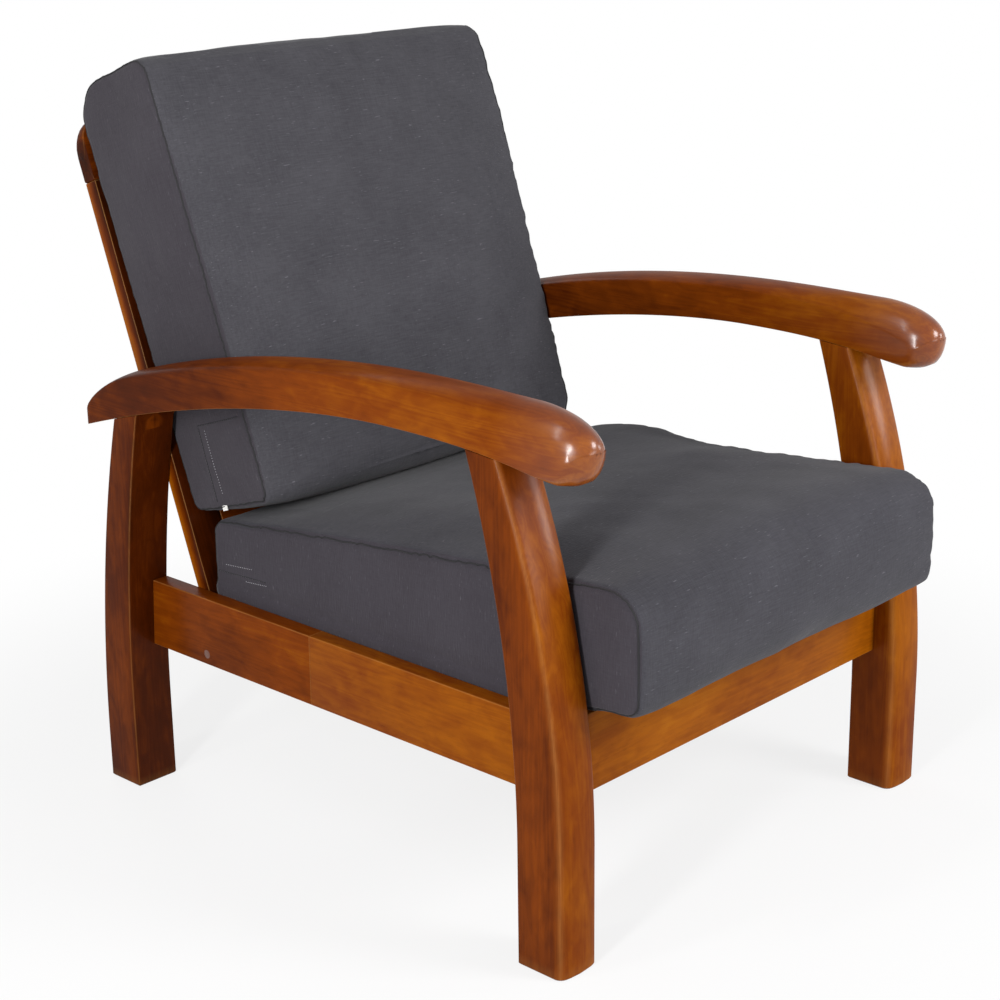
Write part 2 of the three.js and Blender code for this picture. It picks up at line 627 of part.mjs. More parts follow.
// One side frame: two bowed legs, the arm on top of them, and the rail between them.
function sideFrame(side, word) {
  const group = new THREE.Group();
  const centre = side * LEG_CENTRE;
  const frontStud = studPlace(frontLegFace, frontLegBack);
  const rearStud = studPlace(rearLegFace, rearLegBack);
  const railMiddle = side * (HALF_CLEAR + RAIL_THICKNESS / 2);
  const foot = fromRake(footScrew.depth, footScrew.lift);
  const back = fromRake(backScrew.depth, backScrew.lift);

  const studHole = (stud) => {
    return cylinderZ(STUD_RADIUS + FIT, centre, stud.y, stud.pocket, stud.arm + STUD_IN_ARM + FIT);
  };
  const topCut = (from, to) => {
    const half = LEG_WIDTH / 2 + OVERRUN;
    return runAlongX(aboveUnderside(from, to), centre - half, centre + half);
  };
  const inside = side * (HALF_CLEAR - OVERRUN);
  const nutRoom = NUT_RADIUS + FIT;
  const frontPocketEnd = frontLegBack(frontStud.pocket) + OVERRUN;
  const rearPocketEnd = rearLegFace(rearStud.pocket) - OVERRUN;

  const frontLeg = cut(
    frontLegBlank(centre, 0),
    topCut(-OVERRUN, FRONT_FOOT_DEPTH * 3),
    studHole(frontStud),
    cylinderY(POCKET_RADIUS, centre, frontStud.pocket, frontStud.y - nutRoom, frontPocketEnd),
    sideRailTenon(side, true, FIT),
    crossRailTenon(side, FRONT_RAIL_BACK, FRONT_RAIL_HEIGHT, FIT),
  );
  const rearLeg = cut(
    rearLegBlank(centre, 0),
    topCut(FOOT_SPACING - REAR_FOOT_DEPTH * 2, FOOT_SPACING + REAR_FOOT_DEPTH * 2),
    studHole(rearStud),
    cylinderY(POCKET_RADIUS, centre, rearStud.pocket, rearPocketEnd, rearStud.y + nutRoom),
    sideRailTenon(side, false, FIT),
    cylinderX(SCREW_RADIUS + FIT, back.y, back.z, inside, backScrewTip(side) + side * FIT),
  );
  const armRings = armStations().map((y) => armRing(centre, y));
  const arm = cut(loft(armRings), studHole(frontStud), studHole(rearStud));

  const section = railSection(railMiddle, SIDE_RAIL_HEIGHT);
  const sunk = footHead(side) - side * SCREW_HEAD_HEIGHT;
  const rail = cut(
    runAlongY(section, FRONT_FOOT_DEPTH / 2, FOOT_SPACING + REAR_FOOT_DEPTH / 2),
    frontLegBlank(centre, FIT),
    rearLegBlank(centre, FIT),
    crossRailTenon(side, REAR_RAIL_BACK, SIDE_RAIL_HEIGHT, FIT),
    cylinderX(SCREW_RADIUS + FIT, foot.y, foot.z, inside, side * RAIL_OUTER),
    cylinderX(PLUG_RADIUS + FIT, foot.y, foot.z, sunk, side * (RAIL_OUTER + OVERRUN)),
  );
  const tenoned = join(rail, sideRailTenon(side, true, 0), sideRailTenon(side, false, 0));

  group.add(piece(`front_leg_${word}`, frontLeg, LACQUERED_WOOD));
  group.add(piece(`rear_leg_${word}`, rearLeg, LACQUERED_WOOD));
  group.add(piece(`arm_${word}`, arm, LACQUERED_WOOD));
  group.add(piece(`side_rail_${word}`, tenoned, LACQUERED_WOOD));
  for (const [end, stud] of [["front", frontStud], ["rear", rearStud]]) {
    const rod = cylinderZ(STUD_RADIUS, centre, stud.y, stud.bottom, stud.arm + STUD_IN_ARM);
    group.add(piece(`arm_stud_${end}_${word}`, rod, ZINC));
    group.add(piece(`arm_nut_${end}_${word}`, hexNut(centre, stud), ZINC));
  }
  const footShank = screwAlongX(FOOT_SCREW_LENGTH, -side, footHead(side), foot.y, foot.z);
  group.add(piece(`foot_screw_${word}`, footShank, ZINC));
  const plug = cylinderX(PLUG_RADIUS, foot.y, foot.z, footHead(side) + side * FIT, side * RAIL_OUTER);
  group.add(piece(`rail_plug_${word}`, plug, DARK_WOOD));
  return group;
}

// The outer face of the foot screw's head, sunk in the rail under its plug.
function footHead(side) {
  return side * (RAIL_OUTER - PLUG_HEIGHT);
}

// The back screw starts with its head on the inner face of the stile.
function backHead(side) {
  return side * (FRAME_HALF - STILE_WIDTH - FIT - SCREW_HEAD_HEIGHT);
}

function backScrewTip(side) {
  return backHead(side) + side * BACK_SCREW_LENGTH;
}

// Rails, glue blocks, cleats and slats that carry the seat cushion.
function seatFrame() {
  const group = new THREE.Group();
  group.add(piece("front_rail", crossRail(FRONT_RAIL_BACK, FRONT_RAIL_HEIGHT), LACQUERED_WOOD));
  group.add(piece("rear_rail", crossRail(REAR_RAIL_BACK, SIDE_RAIL_HEIGHT), LACQUERED_WOOD));
  const [from, to] = [FRONT_RAIL_BACK + FIT, REAR_RAIL_FRONT - FIT];
  for (const [side, word] of [[-1, "right"], [1, "left"]]) {
    const middle = side * (FRAME_HALF - CLEAT_WIDTH / 2);
    const section = rectangle(middle, CLEAT_TOP - CLEAT_HEIGHT / 2, CLEAT_WIDTH, CLEAT_HEIGHT, 0);
    group.add(piece(`seat_cleat_${word}`, runAlongY(section, from, to), PLAIN_WOOD));
    for (const [end, y, away] of [["front", from, 1], ["rear", to, -1]]) {
      const inner = side * FRAME_HALF;
      const shape = new THREE.Shape([
        new THREE.Vector2(inner, y),
        new THREE.Vector2(inner - side * BLOCK_REACH, y),
        new THREE.Vector2(inner - side * BLOCK_REACH, y + away * BLOCK_FLAT),
        new THREE.Vector2(inner - side * BLOCK_FLAT, y + away * BLOCK_REACH),
        new THREE.Vector2(inner, y + away * BLOCK_REACH),
      ]);
      const block = extrude(shape, BLOCK_HEIGHT).translate(0, 0, RAIL_TOP - SIDE_RAIL_HEIGHT + BLOCK_LIFT);
      group.add(piece(`corner_block_${end}_${word}`, block, PLAIN_WOOD));
    }
  }
  const gap = (to - from - SLAT_COUNT * SLAT_WIDTH) / (SLAT_COUNT + 1);
  const half = FRAME_HALF - SLAT_END_GAP;
  for (let i = 0; i < SLAT_COUNT; i++) {
    const middle = from + gap + SLAT_WIDTH / 2 + i * (SLAT_WIDTH + gap);
    const height = SLAT_BOTTOM + SLAT_THICKNESS / 2;
    const section = rectangle(middle, height, SLAT_WIDTH, SLAT_THICKNESS, SLAT_EDGE);
    group.add(piece(`seat_slat_${i + 1}`, runAlongX(section, -half, half), PLAIN_WOOD));
  }
  return group;
}

// Sections and end housings of the raked back, in its own frame: X across, Y back, Z up the rake.
function backSlatBody(x, from, to, grow) {
  const section = rectangle(x, BACK_MIDDLE, BACK_SLAT_WIDTH + 2 * grow, BACK_SLAT_THICKNESS + 2 * grow, 0);
  return runAlongZ(section, from, to);
}

function stileTenon(side, grow) {
  const [width, thickness] = [STILE_TENON_WIDTH + 2 * grow, TENON_THICKNESS + 2 * grow];
  const section = rectangle(side * STILE_CENTRE, BACK_MIDDLE, width, thickness, 0);
  return runAlongZ(section, CREST_BOTTOM - OVERRUN, CREST_BOTTOM + STILE_TENON_LENGTH + grow);
}

function lowerRailTenon(side, grow) {
  const middle = LOWER_RAIL_LIFT + LOWER_RAIL_HEIGHT / 2;
  const height = LOWER_RAIL_HEIGHT - 2 * TENON_SHOULDER + 2 * grow;
  const section = rectangle(BACK_MIDDLE, middle, TENON_THICKNESS + 2 * grow, height, 0);
  const inner = STILE_CENTRE - STILE_WIDTH / 2;
  return runAlongX(section, side * (inner - OVERRUN), side * (inner + TENON_LENGTH + grow));
}

// The back: two stiles, a crest rail over their ends, a lower rail between them, and upright slats.
function backFrame() {
  const group = new THREE.Group();
  const places = [];
  const inner = STILE_CENTRE - STILE_WIDTH / 2;
  const gap = (2 * inner - BACK_SLAT_COUNT * BACK_SLAT_WIDTH) / (BACK_SLAT_COUNT + 1);
  for (let i = 0; i < BACK_SLAT_COUNT; i++) {
    places.push(-inner + gap + BACK_SLAT_WIDTH / 2 + i * (BACK_SLAT_WIDTH + gap));
  }
  const slatFrom = LOWER_RAIL_TOP - TENON_LENGTH;
  const slatTo = CREST_BOTTOM + TENON_LENGTH;
  const housings = places.map((x) => backSlatBody(x, slatFrom - FIT, slatTo + FIT, FIT));

  for (const [side, word] of [[-1, "right"], [1, "left"]]) {
    const section = rectangle(side * STILE_CENTRE, BACK_MIDDLE, STILE_WIDTH, BACK_THICKNESS, BACK_EDGE);
    const shank = SCREW_RADIUS + FIT;
    const stile = cut(
      join(runAlongZ(section, -STILE_BELOW, CREST_BOTTOM - FIT), stileTenon(side, 0)),
      lowerRailTenon(side, FIT),
      cylinderX(shank, footScrew.depth, footScrew.lift, footScrewTip(side), side * (HALF_CLEAR + OVERRUN)),
      cylinderX(shank, backScrew.depth, backScrew.lift, backHead(side), side * (HALF_CLEAR + OVERRUN)),
    );
    group.add(piece(`back_stile_${word}`, stile, LACQUERED_WOOD));
    const driven = screwAlongX(BACK_SCREW_LENGTH, side, backHead(side), backScrew.depth, backScrew.lift);
    group.add(piece(`back_screw_${word}`, driven, ZINC));
  }

  const crestTop = CREST_BOTTOM + CREST_HEIGHT;
  const elevation = [
    [-FRAME_HALF, CREST_BOTTOM, BACK_EDGE],
    [FRAME_HALF, CREST_BOTTOM, BACK_EDGE],
    [FRAME_HALF, crestTop, CREST_CORNER],
    [-FRAME_HALF, crestTop, CREST_CORNER],
  ];
  const endView = [
    [0, CREST_BOTTOM, BACK_EDGE],
    [BACK_THICKNESS, CREST_BOTTOM, BACK_EDGE],
    [BACK_THICKNESS, crestTop, CREST_BACK_ROUND],
    [0, crestTop, CREST_FRONT_ROUND],
  ];
  const board = runAlongY(elevation, 0, BACK_THICKNESS);
  const shaped = common(board, runAlongX(endView, -FRAME_HALF - OVERRUN, FRAME_HALF + OVERRUN));
  const crest = cut(shaped, stileTenon(-1, FIT), stileTenon(1, FIT), ...housings);
  group.add(piece("crest_rail", crest, LACQUERED_WOOD));

  const lift = LOWER_RAIL_LIFT + LOWER_RAIL_HEIGHT / 2;
  const low = rectangle(BACK_MIDDLE, lift, BACK_THICKNESS, LOWER_RAIL_HEIGHT, BACK_EDGE);
  const lower = join(runAlongX(low, FIT - inner, inner - FIT), lowerRailTenon(-1, 0), lowerRailTenon(1, 0));
  group.add(piece("lower_back_rail", cut(lower, ...housings), LACQUERED_WOOD));
  places.forEach((x, i) => {
    group.add(piece(`back_slat_${i + 1}`, backSlatBody(x, slatFrom, slatTo, 0), LACQUERED_WOOD));
  });

  group.position.set(0, BACK_FOOT, RAIL_TOP);
  group.rotation.x = -RAKE;
  return group;
}

// The foot screw's point, with room in its hole.
function footScrewTip(side) {
  return footHead(side) - side * (FOOT_SCREW_LENGTH + FIT);
}

// A box cushion as a skin over outlines set side by side across the chair. Corners give depth, height,
// rounding, the crown's share at the corner, the swell of the edge that follows, and the parts of that edge.
// A cushion is wider at its top than at its bottom by the spread on each side.
function cushionSkin({ corners, half, crown, spread }, inset) {
  const arcs = roundedLoop(corners);
  const loop = [];
  arcs.forEach((here, i) => {
    const next = arcs[(i + 1) % arcs.length];
    const [, , , lift, swell, parts] = corners[here.corner];
    loop.push({ ...here, lift });
    const count = next.corner === here.corner ? 1 : parts;
    for (let part = 1; part < count; part++) {
      const share = part / count;
      const even = THREE.MathUtils.lerp(lift, corners[next.corner][3], share);
      const point = here.point.clone().lerp(next.point, share);
      loop.push({ point, normal: here.normal, lift: even + swell * Math.sin(Math.PI * share) });
    }
  });
  const depths = loop.map(({ point }) => point.x);
  const heights = loop.map(({ point }) => point.y);
  const [low, high] = [Math.min(...depths), Math.max(...depths)];
  const [foot, head] = [Math.min(...heights), Math.max(...heights)];
  const middle = new THREE.Vector2(0, 0);
  loop.forEach(({ point }) => middle.addScaledVector(point, 1 / loop.length));

  const shares = [...RING_SHARES.slice(1).reverse().map((share) => -share), ...RING_SHARES];
  const rings = shares.map((share) => {
    const across = Math.pow(1 - Math.abs(share) ** CROWN_FLAT_SHARE, CROWN_SOFT_SHARE);
    return loop.map(({ point, normal, lift }) => {
      const along = (point.x - low) / (high - low);
      const drawn = DRAW_IN * 4 * along * (1 - along) * Math.abs(share) ** CROWN_FLAT_SHARE;
      const place = point.clone().addScaledVector(normal, crown * lift * across - inset);
      const reach = half - inset + (spread * (point.y - foot)) / (head - foot);
      return vector(share * reach - Math.sign(share) * drawn, place.x, place.y);
    });
  });
  const gusset = (ring, side) => ring.map(({ x, y, z }) => {
    const share = 1 - GUSSET_INNER_SHARE;
    return vector(x + side * GUSSET_SWELL, y + (middle.x - y) * share, z + (middle.y - z) * share);
  });
  rings.push(gusset(rings.at(-1), 1));
  rings.unshift(gusset(rings[0], -1));
  return loft(rings);
}

// A cover is the skin with a smaller skin taken out of it, and open along its zip.
function cushionCover(shape, zipLow, zipHigh) {
  return cut(cushionSkin(shape, 0), cushionSkin(shape, COVER_THICKNESS), box(zipLow, zipHigh));
}

function cushionFoam(shape) {
  return cushionSkin(shape, COVER_THICKNESS + FOAM_GAP);
}

const SEAT_CORNERS = [
  [SEAT_REAR, SEAT_REAR_TOP, SEAT_REAR_ROUND, 0, 0.85, 8],
  [-SEAT_OVERHANG, SEAT_FRONT_TOP, SEAT_FRONT_TOP_ROUND, 0.35, 0.1, 2],
  [-SEAT_OVERHANG, SEAT_NOSE_BOTTOM, SEAT_FRONT_BOTTOM_ROUND, 0.25, 0, 2],
  [SEAT_NOSE_START, SEAT_BOTTOM, SEAT_NOSE_BEND, 0, 0, 3],
  [SEAT_REAR, SEAT_BOTTOM, SEAT_REAR_ROUND, 0, 0, 1],
];

const BACK_CORNERS = [
  [-FIT, BACK_CUSHION_START, BACK_BOTTOM_ROUND, 0, 0, 2],
  [-FIT, BACK_CUSHION_END, BACK_TOP_REAR_ROUND, 0, 0.15, 3],
  [-BACK_TOP_THICKNESS, BACK_CUSHION_END, BACK_TOP_FRONT_ROUND, 0.2, 0.7, 8],
  [-BACK_BOTTOM_THICKNESS, BACK_CUSHION_START - BACK_CUSHION_FRONT_DROP, BACK_BOTTOM_ROUND, 0.35, 0.4, 4],
];

const SEAT_SHAPE = { corners: SEAT_CORNERS, half: SEAT_HALF_WIDTH, crown: SEAT_CROWN, spread: 0 };
const BACK_SHAPE = { corners: BACK_CORNERS, half: BACK_HALF_WIDTH, crown: BACK_CROWN, spread: BACK_SPREAD };

// A zip slider: its body over the chain, and a bridge that the pull is trapped under.
function zipSlider() {
  const [length, height] = [SLIDER_LENGTH / 2, SLIDER_HEIGHT / 2];
  const body = box([-length, 0, -height], [length, SLIDER_THICKNESS, height]);
  const room = TAB_BAR + 2 * FIT;
  const reach = SLIDER_THICKNESS + room;
  const outer = [-BRIDGE_WIDTH / 2, SLIDER_THICKNESS - FIT, -room / 2 - BRIDGE_BAR];
  const bridge = box(outer, [BRIDGE_WIDTH / 2, reach + BRIDGE_BAR, room / 2 + BRIDGE_BAR]);
  const eye = box([-BRIDGE_WIDTH, SLIDER_THICKNESS, -room / 2], [BRIDGE_WIDTH, reach, room / 2]);
  return join(body, cut(bridge, eye));
}

// The pull hangs from its own top bar, which lies on zero and turns about X.
function zipPull() {
  const corners = rectangle(0, TAB_BAR / 2 - TAB_LENGTH / 2, TAB_WIDTH, TAB_LENGTH, TAB_BAR / 2);
  const plate = runAlongY(corners, -TAB_THICKNESS / 2, TAB_THICKNESS / 2);
  const eyeLow = [-EYE_WIDTH / 2, -TAB_THICKNESS, -TAB_BAR / 2 - EYE_HEIGHT];
  return cut(plate, box(eyeLow, [EYE_WIDTH / 2, TAB_THICKNESS, -TAB_BAR / 2]));
}

function seatCushion() {
  const group = new THREE.Group();
  const half = ZIP_LENGTH / 2;
  const slot = ZIP_SLOT / 2;
  const wall = COVER_THICKNESS + FOAM_GAP / 2;
  const low = [-half, SEAT_REAR - wall, SEAT_ZIP_HEIGHT - slot];
  const high = [half, SEAT_REAR + OVERRUN, SEAT_ZIP_HEIGHT + slot];
  const cover = cushionCover(SEAT_SHAPE, low, high);
  group.add(piece("seat_cushion_cover", cover, CHARCOAL_WEAVE));
  group.add(piece("seat_cushion_foam", cushionFoam(SEAT_SHAPE), FOAM));
  const tapeLow = [FIT - half, SEAT_REAR - ZIP_TAPE - FIT, SEAT_ZIP_HEIGHT - slot + FIT];
  const tapeHigh = [half - FIT, SEAT_REAR - FIT / 2, SEAT_ZIP_HEIGHT + slot - FIT];
  group.add(piece("seat_zip", box(tapeLow, tapeHigh), NYLON));

  const parked = SLIDER_PARK - half;
  const slider = piece("seat_zip_slider", zipSlider(), ZINC);
  slider.position.set(parked, SEAT_REAR + FIT, SEAT_ZIP_HEIGHT);
  group.add(slider);
  const pull = piece("seat_zip_pull", zipPull(), ZINC);
  pull.position.set(parked, SEAT_REAR + FIT + SLIDER_THICKNESS + FIT + TAB_BAR / 2, SEAT_ZIP_HEIGHT);
  group.add(pull);
  return group;
}

// The way from a point to a mesh in one direction, or Infinity where it misses.
function reach(mesh, point, direction) {
  const [hit] = new THREE.Raycaster(point, direction).intersectObject(mesh);
  return hit ? hit.distance : Infinity;
}

// The second slider's pull lies flat along the zip, trapped between the cushions, so the two are one solid.
function flatSlider() {
  const [length, height] = [SLIDER_LENGTH / 2, SLIDER_HEIGHT / 2];
  const body = box([-length, -height, -SLIDER_THICKNESS], [length, height, 0]);
  const low = [length - TAB_BAR, -TAB_WIDTH / 2, -SLIDER_THICKNESS];
  return join(body, box(low, [length + TAB_LENGTH, TAB_WIDTH / 2, TAB_THICKNESS - SLIDER_THICKNESS]));
}

// How far the back cushion stands above the seat cushion, measured down from every point of its skin.
function clearanceOver(seat, group, geometry) {
  const places = geometry.getAttribute("position");
  let least = Infinity;
  for (let i = 0; i < places.count; i++) {
    const point = new THREE.Vector3().fromBufferAttribute(places, i).applyMatrix4(group.matrixWorld);
    point.z += SEAT_FRONT_TOP;
    least = Math.min(least, reach(seat, point, vector(0, 0, -1)) - SEAT_FRONT_TOP);
  }
  return least;
}

// The back cushion, in the raked frame, slid along the rake until it rests on the seat cushion.
function backCushion(seatCover) {
  const group = new THREE.Group();
  const half = ZIP_LENGTH / 2;
  const slot = ZIP_SLOT / 2;
  const seamAt = (depth) => BACK_CUSHION_START - (BACK_CUSHION_FRONT_DROP * depth) / BACK_BOTTOM_THICKNESS;
  const skin = cushionSkin(BACK_SHAPE, 0);
  const skinMesh = new THREE.Mesh(skin);
  const below = seamAt(BACK_ZIP_PLACE) - BACK_CROWN - OVERRUN;
  const bottomAt = (x, y) => below + reach(skinMesh, vector(x, y, below), vector(0, 0, 1));
  const chain = bottomAt(half, -BACK_ZIP_PLACE);
  const lowest = bottomAt(0, -BACK_ZIP_PLACE - SLIDER_HEIGHT / 2);

  const low = [-half, -BACK_ZIP_PLACE - slot, below];
  const high = [half, -BACK_ZIP_PLACE + slot, chain + COVER_THICKNESS + FOAM_GAP / 2];
  const cover = cushionCover(BACK_SHAPE, low, high);
  group.add(piece("back_cushion_cover", cover, CHARCOAL_WEAVE));
  const foam = cut(cushionFoam(BACK_SHAPE), box(low, high));
  group.add(piece("back_cushion_foam", foam, FOAM));
  const tapeLow = [FIT - half, -BACK_ZIP_PLACE - slot + FIT, chain];
  const tapeHigh = [half - FIT, -BACK_ZIP_PLACE + slot - FIT, chain + COVER_THICKNESS / 2];
  group.add(piece("back_zip", box(tapeLow, tapeHigh), NYLON));
  const slider = piece("back_zip_slider", flatSlider(), ZINC);
  slider.position.set(SLIDER_PARK - half, -BACK_ZIP_PLACE, lowest - FIT);
  group.add(slider);

  const top = seamAt(LABEL_PLACE) + LABEL_SEWN;
  const side = DRAW_IN - BACK_HALF_WIDTH - FIT - LABEL_THICKNESS;
  const labelLow = [side - LABEL_THICKNESS / 2, -LABEL_PLACE - LABEL_WIDTH / 2, top - LABEL_LENGTH];
  const labelHigh = [side + LABEL_THICKNESS / 2, -LABEL_PLACE + LABEL_WIDTH / 2, top];
  group.add(piece("care_label", box(labelLow, labelHigh), SATIN_TAPE));

  group.position.set(0, BACK_FOOT, RAIL_TOP);
  group.rotation.x = -RAKE;
  const upRake = vector(0, Math.sin(RAKE), Math.cos(RAKE));
  for (let step = 0; step < SEATING_STEPS; step++) {
    group.updateMatrixWorld(true);
    group.position.addScaledVector(upRake, 2 * FIT - clearanceOver(seatCover, group, skin));
  }
  return group;
}

// The whole chair, moved so that the origin is under the middle of its box.
function fireside() {
  const chair = new THREE.Group();
  chair.add(sideFrame(-1, "right"), sideFrame(1, "left"), seatFrame(), backFrame());
  const seat = seatCushion();
  chair.add(seat, backCushion(seat.getObjectByName("seat_cushion_cover")));
  const middle = new THREE.Box3().setFromObject(chair, true).getCenter(vector(0, 0, 0));
  chair.position.y = -middle.y;
  return chair;
}

export default fireside();
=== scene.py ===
import math

import bmesh
import bpy
from mathutils import Matrix, Vector, kdtree, noise
from mathutils.bvhtree import BVHTree


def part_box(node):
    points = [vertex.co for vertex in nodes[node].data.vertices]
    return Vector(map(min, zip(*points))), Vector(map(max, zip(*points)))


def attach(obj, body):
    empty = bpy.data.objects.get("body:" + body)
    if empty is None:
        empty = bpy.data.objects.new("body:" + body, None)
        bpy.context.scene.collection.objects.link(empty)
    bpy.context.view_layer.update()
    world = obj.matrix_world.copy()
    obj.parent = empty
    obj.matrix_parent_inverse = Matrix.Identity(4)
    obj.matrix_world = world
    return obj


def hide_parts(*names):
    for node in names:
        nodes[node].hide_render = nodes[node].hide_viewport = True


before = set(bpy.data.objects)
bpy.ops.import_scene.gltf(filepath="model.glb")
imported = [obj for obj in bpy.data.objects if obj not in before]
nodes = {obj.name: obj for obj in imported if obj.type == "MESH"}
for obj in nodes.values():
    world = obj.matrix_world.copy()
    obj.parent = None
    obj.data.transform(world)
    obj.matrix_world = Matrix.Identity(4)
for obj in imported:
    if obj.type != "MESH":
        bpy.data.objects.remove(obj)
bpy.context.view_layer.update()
hands = {"right": -1, "left": 1}

# The joiner's rod for the whole frame: sizes in millimetres, heights from the floor and depths from the front feet.
# Left and right are the sitter's own, so the right side is at -X, and the frame's own origin lies under its middle.
MM = 0.001
front_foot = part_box("front_leg_right")
FACE_OF_FEET = front_foot[0].y
LEG_HALF = (front_foot[1].x - front_foot[0].x) / MM / 2
LEG_CENTRE = -(front_foot[1].x + front_foot[0].x) / MM / 2
HALF_CLEAR = LEG_CENTRE - LEG_HALF
FIT = 0.3


def place(x, y, z):
    """A point of the chair, given in millimetres on the joiner's rod, in metres in the frame."""
    return Vector((x * MM, y * MM + FACE_OF_FEET, z * MM))


def bow(run, radius):
    """How far an arc has left its tangent after a run along it."""
    return radius - math.sqrt(radius**2 - max(run, 0) ** 2)


def lerp(a, b, share):
    return a + (b - a) * share


# The arms' underside is drawn first, because the heads of the legs are scribed to it: an arch that peaks a third of
# the way back and falls to both ends.
arm_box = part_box("arm_right")
ARM_FRONT = -(arm_box[0].y - FACE_OF_FEET) / MM
ARM_REAR = (arm_box[1].y - FACE_OF_FEET) / MM
UNDERSIDE_TOP = 564.8
UNDERSIDE_PEAK = 235
UNDERSIDE_REAR_DROP = 95
UNDERSIDE_FRONT_DROP = 27
SWEEP_SHARE = 1.78
FRONT_SWEEP_SHARE = 2.6


def sweep(distance, reach, drop, share):
    """A curve that leaves its peak level and has fallen by the whole drop at the end of its reach."""
    return drop * (max(distance, 0) / reach) ** share


def underside(y):
    rear = sweep(y - UNDERSIDE_PEAK, ARM_REAR - UNDERSIDE_PEAK, UNDERSIDE_REAR_DROP, SWEEP_SHARE)
    front = sweep(UNDERSIDE_PEAK - y, UNDERSIDE_PEAK + ARM_FRONT, UNDERSIDE_FRONT_DROP, FRONT_SWEEP_SHARE)
    return UNDERSIDE_TOP - rear - front


# Stained hardwood: a plain, close-grained timber under a red brown stain, with a sprayed gloss lacquer over it. The
# stain takes unevenly, which gives the eye amber and red patches, and the end grain drinks more and shows darker. The
# arrises are painted paler, partly as sanded edges that keep less stain and partly as a painted highlight line. Some
# faces are also painted lighter as painted light, and some darker as painted shade, through the same per-point value.
# The lacquer gives sharp, pale reflections over the soft colour.
STAIN_TONES = [(0.0, "#210a01"), (0.28, "#491b02"), (0.5, "#723304"), (0.72, "#955206"), (1.0, "#b47018")]
ARRIS_HIGHLIGHT_TONE = "#c48a4c"
LACQUER_IOR = 1.5


def linear(code):
    """An sRGB hex colour as linear red, green, blue and alpha."""
    channels = [int(code[i : i + 2], 16) / 255 for i in (1, 3, 5)]
    return [c / 12.92 if c <= 0.04045 else ((c + 0.055) / 1.055) ** 2.4 for c in channels] + [1]


def add(tree, kind, inputs=None, **settings):
    """Adds a node with its settings. An input is a value or another node's socket to link to."""
    made = tree.nodes.new(kind)
    for name, value in settings.items():
        setattr(made, name, value)
    for key, value in (inputs or {}).items():
        if isinstance(value, bpy.types.NodeSocket):
            tree.links.new(value, made.inputs[key])
        else:
            made.inputs[key].default_value = value
    return made


def new_material(name):
    material = bpy.data.materials.new(name)
    material.use_nodes = True
    material.node_tree.nodes.clear()
    return material, material.node_tree


def finish_surface(tree, shader):
    add(tree, "ShaderNodeOutputMaterial", {"Surface": shader})


def stained_wood(name, grain, turn=0.0):
    """Lacquered timber with its grain along X, Y or Z (0, 1 or 2), in a frame turned about X."""
    material, tree = new_material(name)
    here = add(tree, "ShaderNodeTexCoord").outputs["Object"]

    def noise_of(across, along, detail, offset, distortion=0.0):
        size = [across * MM] * 3
        size[grain] = along * MM
        inputs = {"Vector": here, "Location": [offset] * 3, "Rotation": (turn, 0, 0), "Scale": size}
        laid = add(tree, "ShaderNodeMapping", inputs, vector_type="TEXTURE")
        inputs = {"Vector": laid.outputs[0], "Scale": 1, "Detail": detail, "Distortion": distortion}
        return add(tree, "ShaderNodeTexNoise", inputs).outputs[0]

    def math_of(operation, *values):
        return add(tree, "ShaderNodeMath", dict(enumerate(values)), operation=operation).outputs[0]

    blotch = noise_of(85, 240, 1.5, 0.31)
    mottle = noise_of(15, 36, 2.5, 0.67, 0.6)
    figure = math_of("SINE", math_of("MULTIPLY", noise_of(17, 330, 1.2, 0.57, 0.4), 46))
    fibre = noise_of(1.1, 46, 3, 0.13)
    pore = noise_of(0.7, 11, 1, 0.73)
    stain_and_light = add(tree, "ShaderNodeAttribute", attribute_name="stain_and_light").outputs["Fac"]
    shine = add(tree, "ShaderNodeAttribute", attribute_name="polish").outputs["Fac"]
    arris = add(tree, "ShaderNodeAttribute", attribute_name="arris").outputs["Fac"]
    tone = math_of("MULTIPLY_ADD", blotch, 0.5, 0.02)
    tone = math_of("MULTIPLY_ADD", mottle, 0.26, tone)
    tone = math_of("MULTIPLY_ADD", figure, 0.022, tone)
    tone = math_of("MULTIPLY_ADD", math_of("SUBTRACT", fibre, 0.5), 0.08, tone)
    tone = math_of("ADD", tone, stain_and_light)
    ramp = add(tree, "ShaderNodeValToRGB", {"Fac": tone})
    points = ramp.color_ramp.elements
    for place_on_ramp, code in STAIN_TONES[1:-1]:
        points.new(place_on_ramp)
    for point, (place_on_ramp, code) in zip(points, STAIN_TONES):
        point.position = place_on_ramp
        point.color = linear(code)
    pores = add(tree, "ShaderNodeMapRange", {"Value": pore, "From Min": 0.64, "From Max": 0.76, "To Max": 0.25})
    inputs = {0: pores.outputs[0], 6: ramp.outputs[0], 7: linear("#2a0f06")}
    grained = add(tree, "ShaderNodeMix", inputs, data_type="RGBA").outputs[2]
    # Arrises get a paler colour: partly sanded edges that keep less stain, partly a painted highlight line.
    rubbed_and_highlit = math_of("MULTIPLY", arris, math_of("MULTIPLY_ADD", fibre, 0.9, 0.05))
    inputs = {0: rubbed_and_highlit, 6: grained, 7: linear(ARRIS_HIGHLIGHT_TONE)}
    colour = add(tree, "ShaderNodeMix", inputs, data_type="RGBA", clamp_factor=True).outputs[2]
    ripple = noise_of(22, 60, 1, 0.41)
    bump = add(tree, "ShaderNodeBump", {"Strength": 0.35, "Distance": 0.0006, "Height": ripple}).outputs[0]
    inputs = {
        "Base Color": colour,
        "Roughness": 0.45,
        "IOR": LACQUER_IOR,
        "Specular IOR Level": 0.02,
        "Coat Weight": math_of("MULTIPLY_ADD", shine, 0.9, 0.09),
        "Coat Roughness": 0.22,
        "Coat IOR": LACQUER_IOR,
        "Normal": bump,
        "Coat Normal": bump,
    }
    finish_surface(tree, add(tree, "ShaderNodeBsdfPrincipled", inputs).outputs[0])
    return material


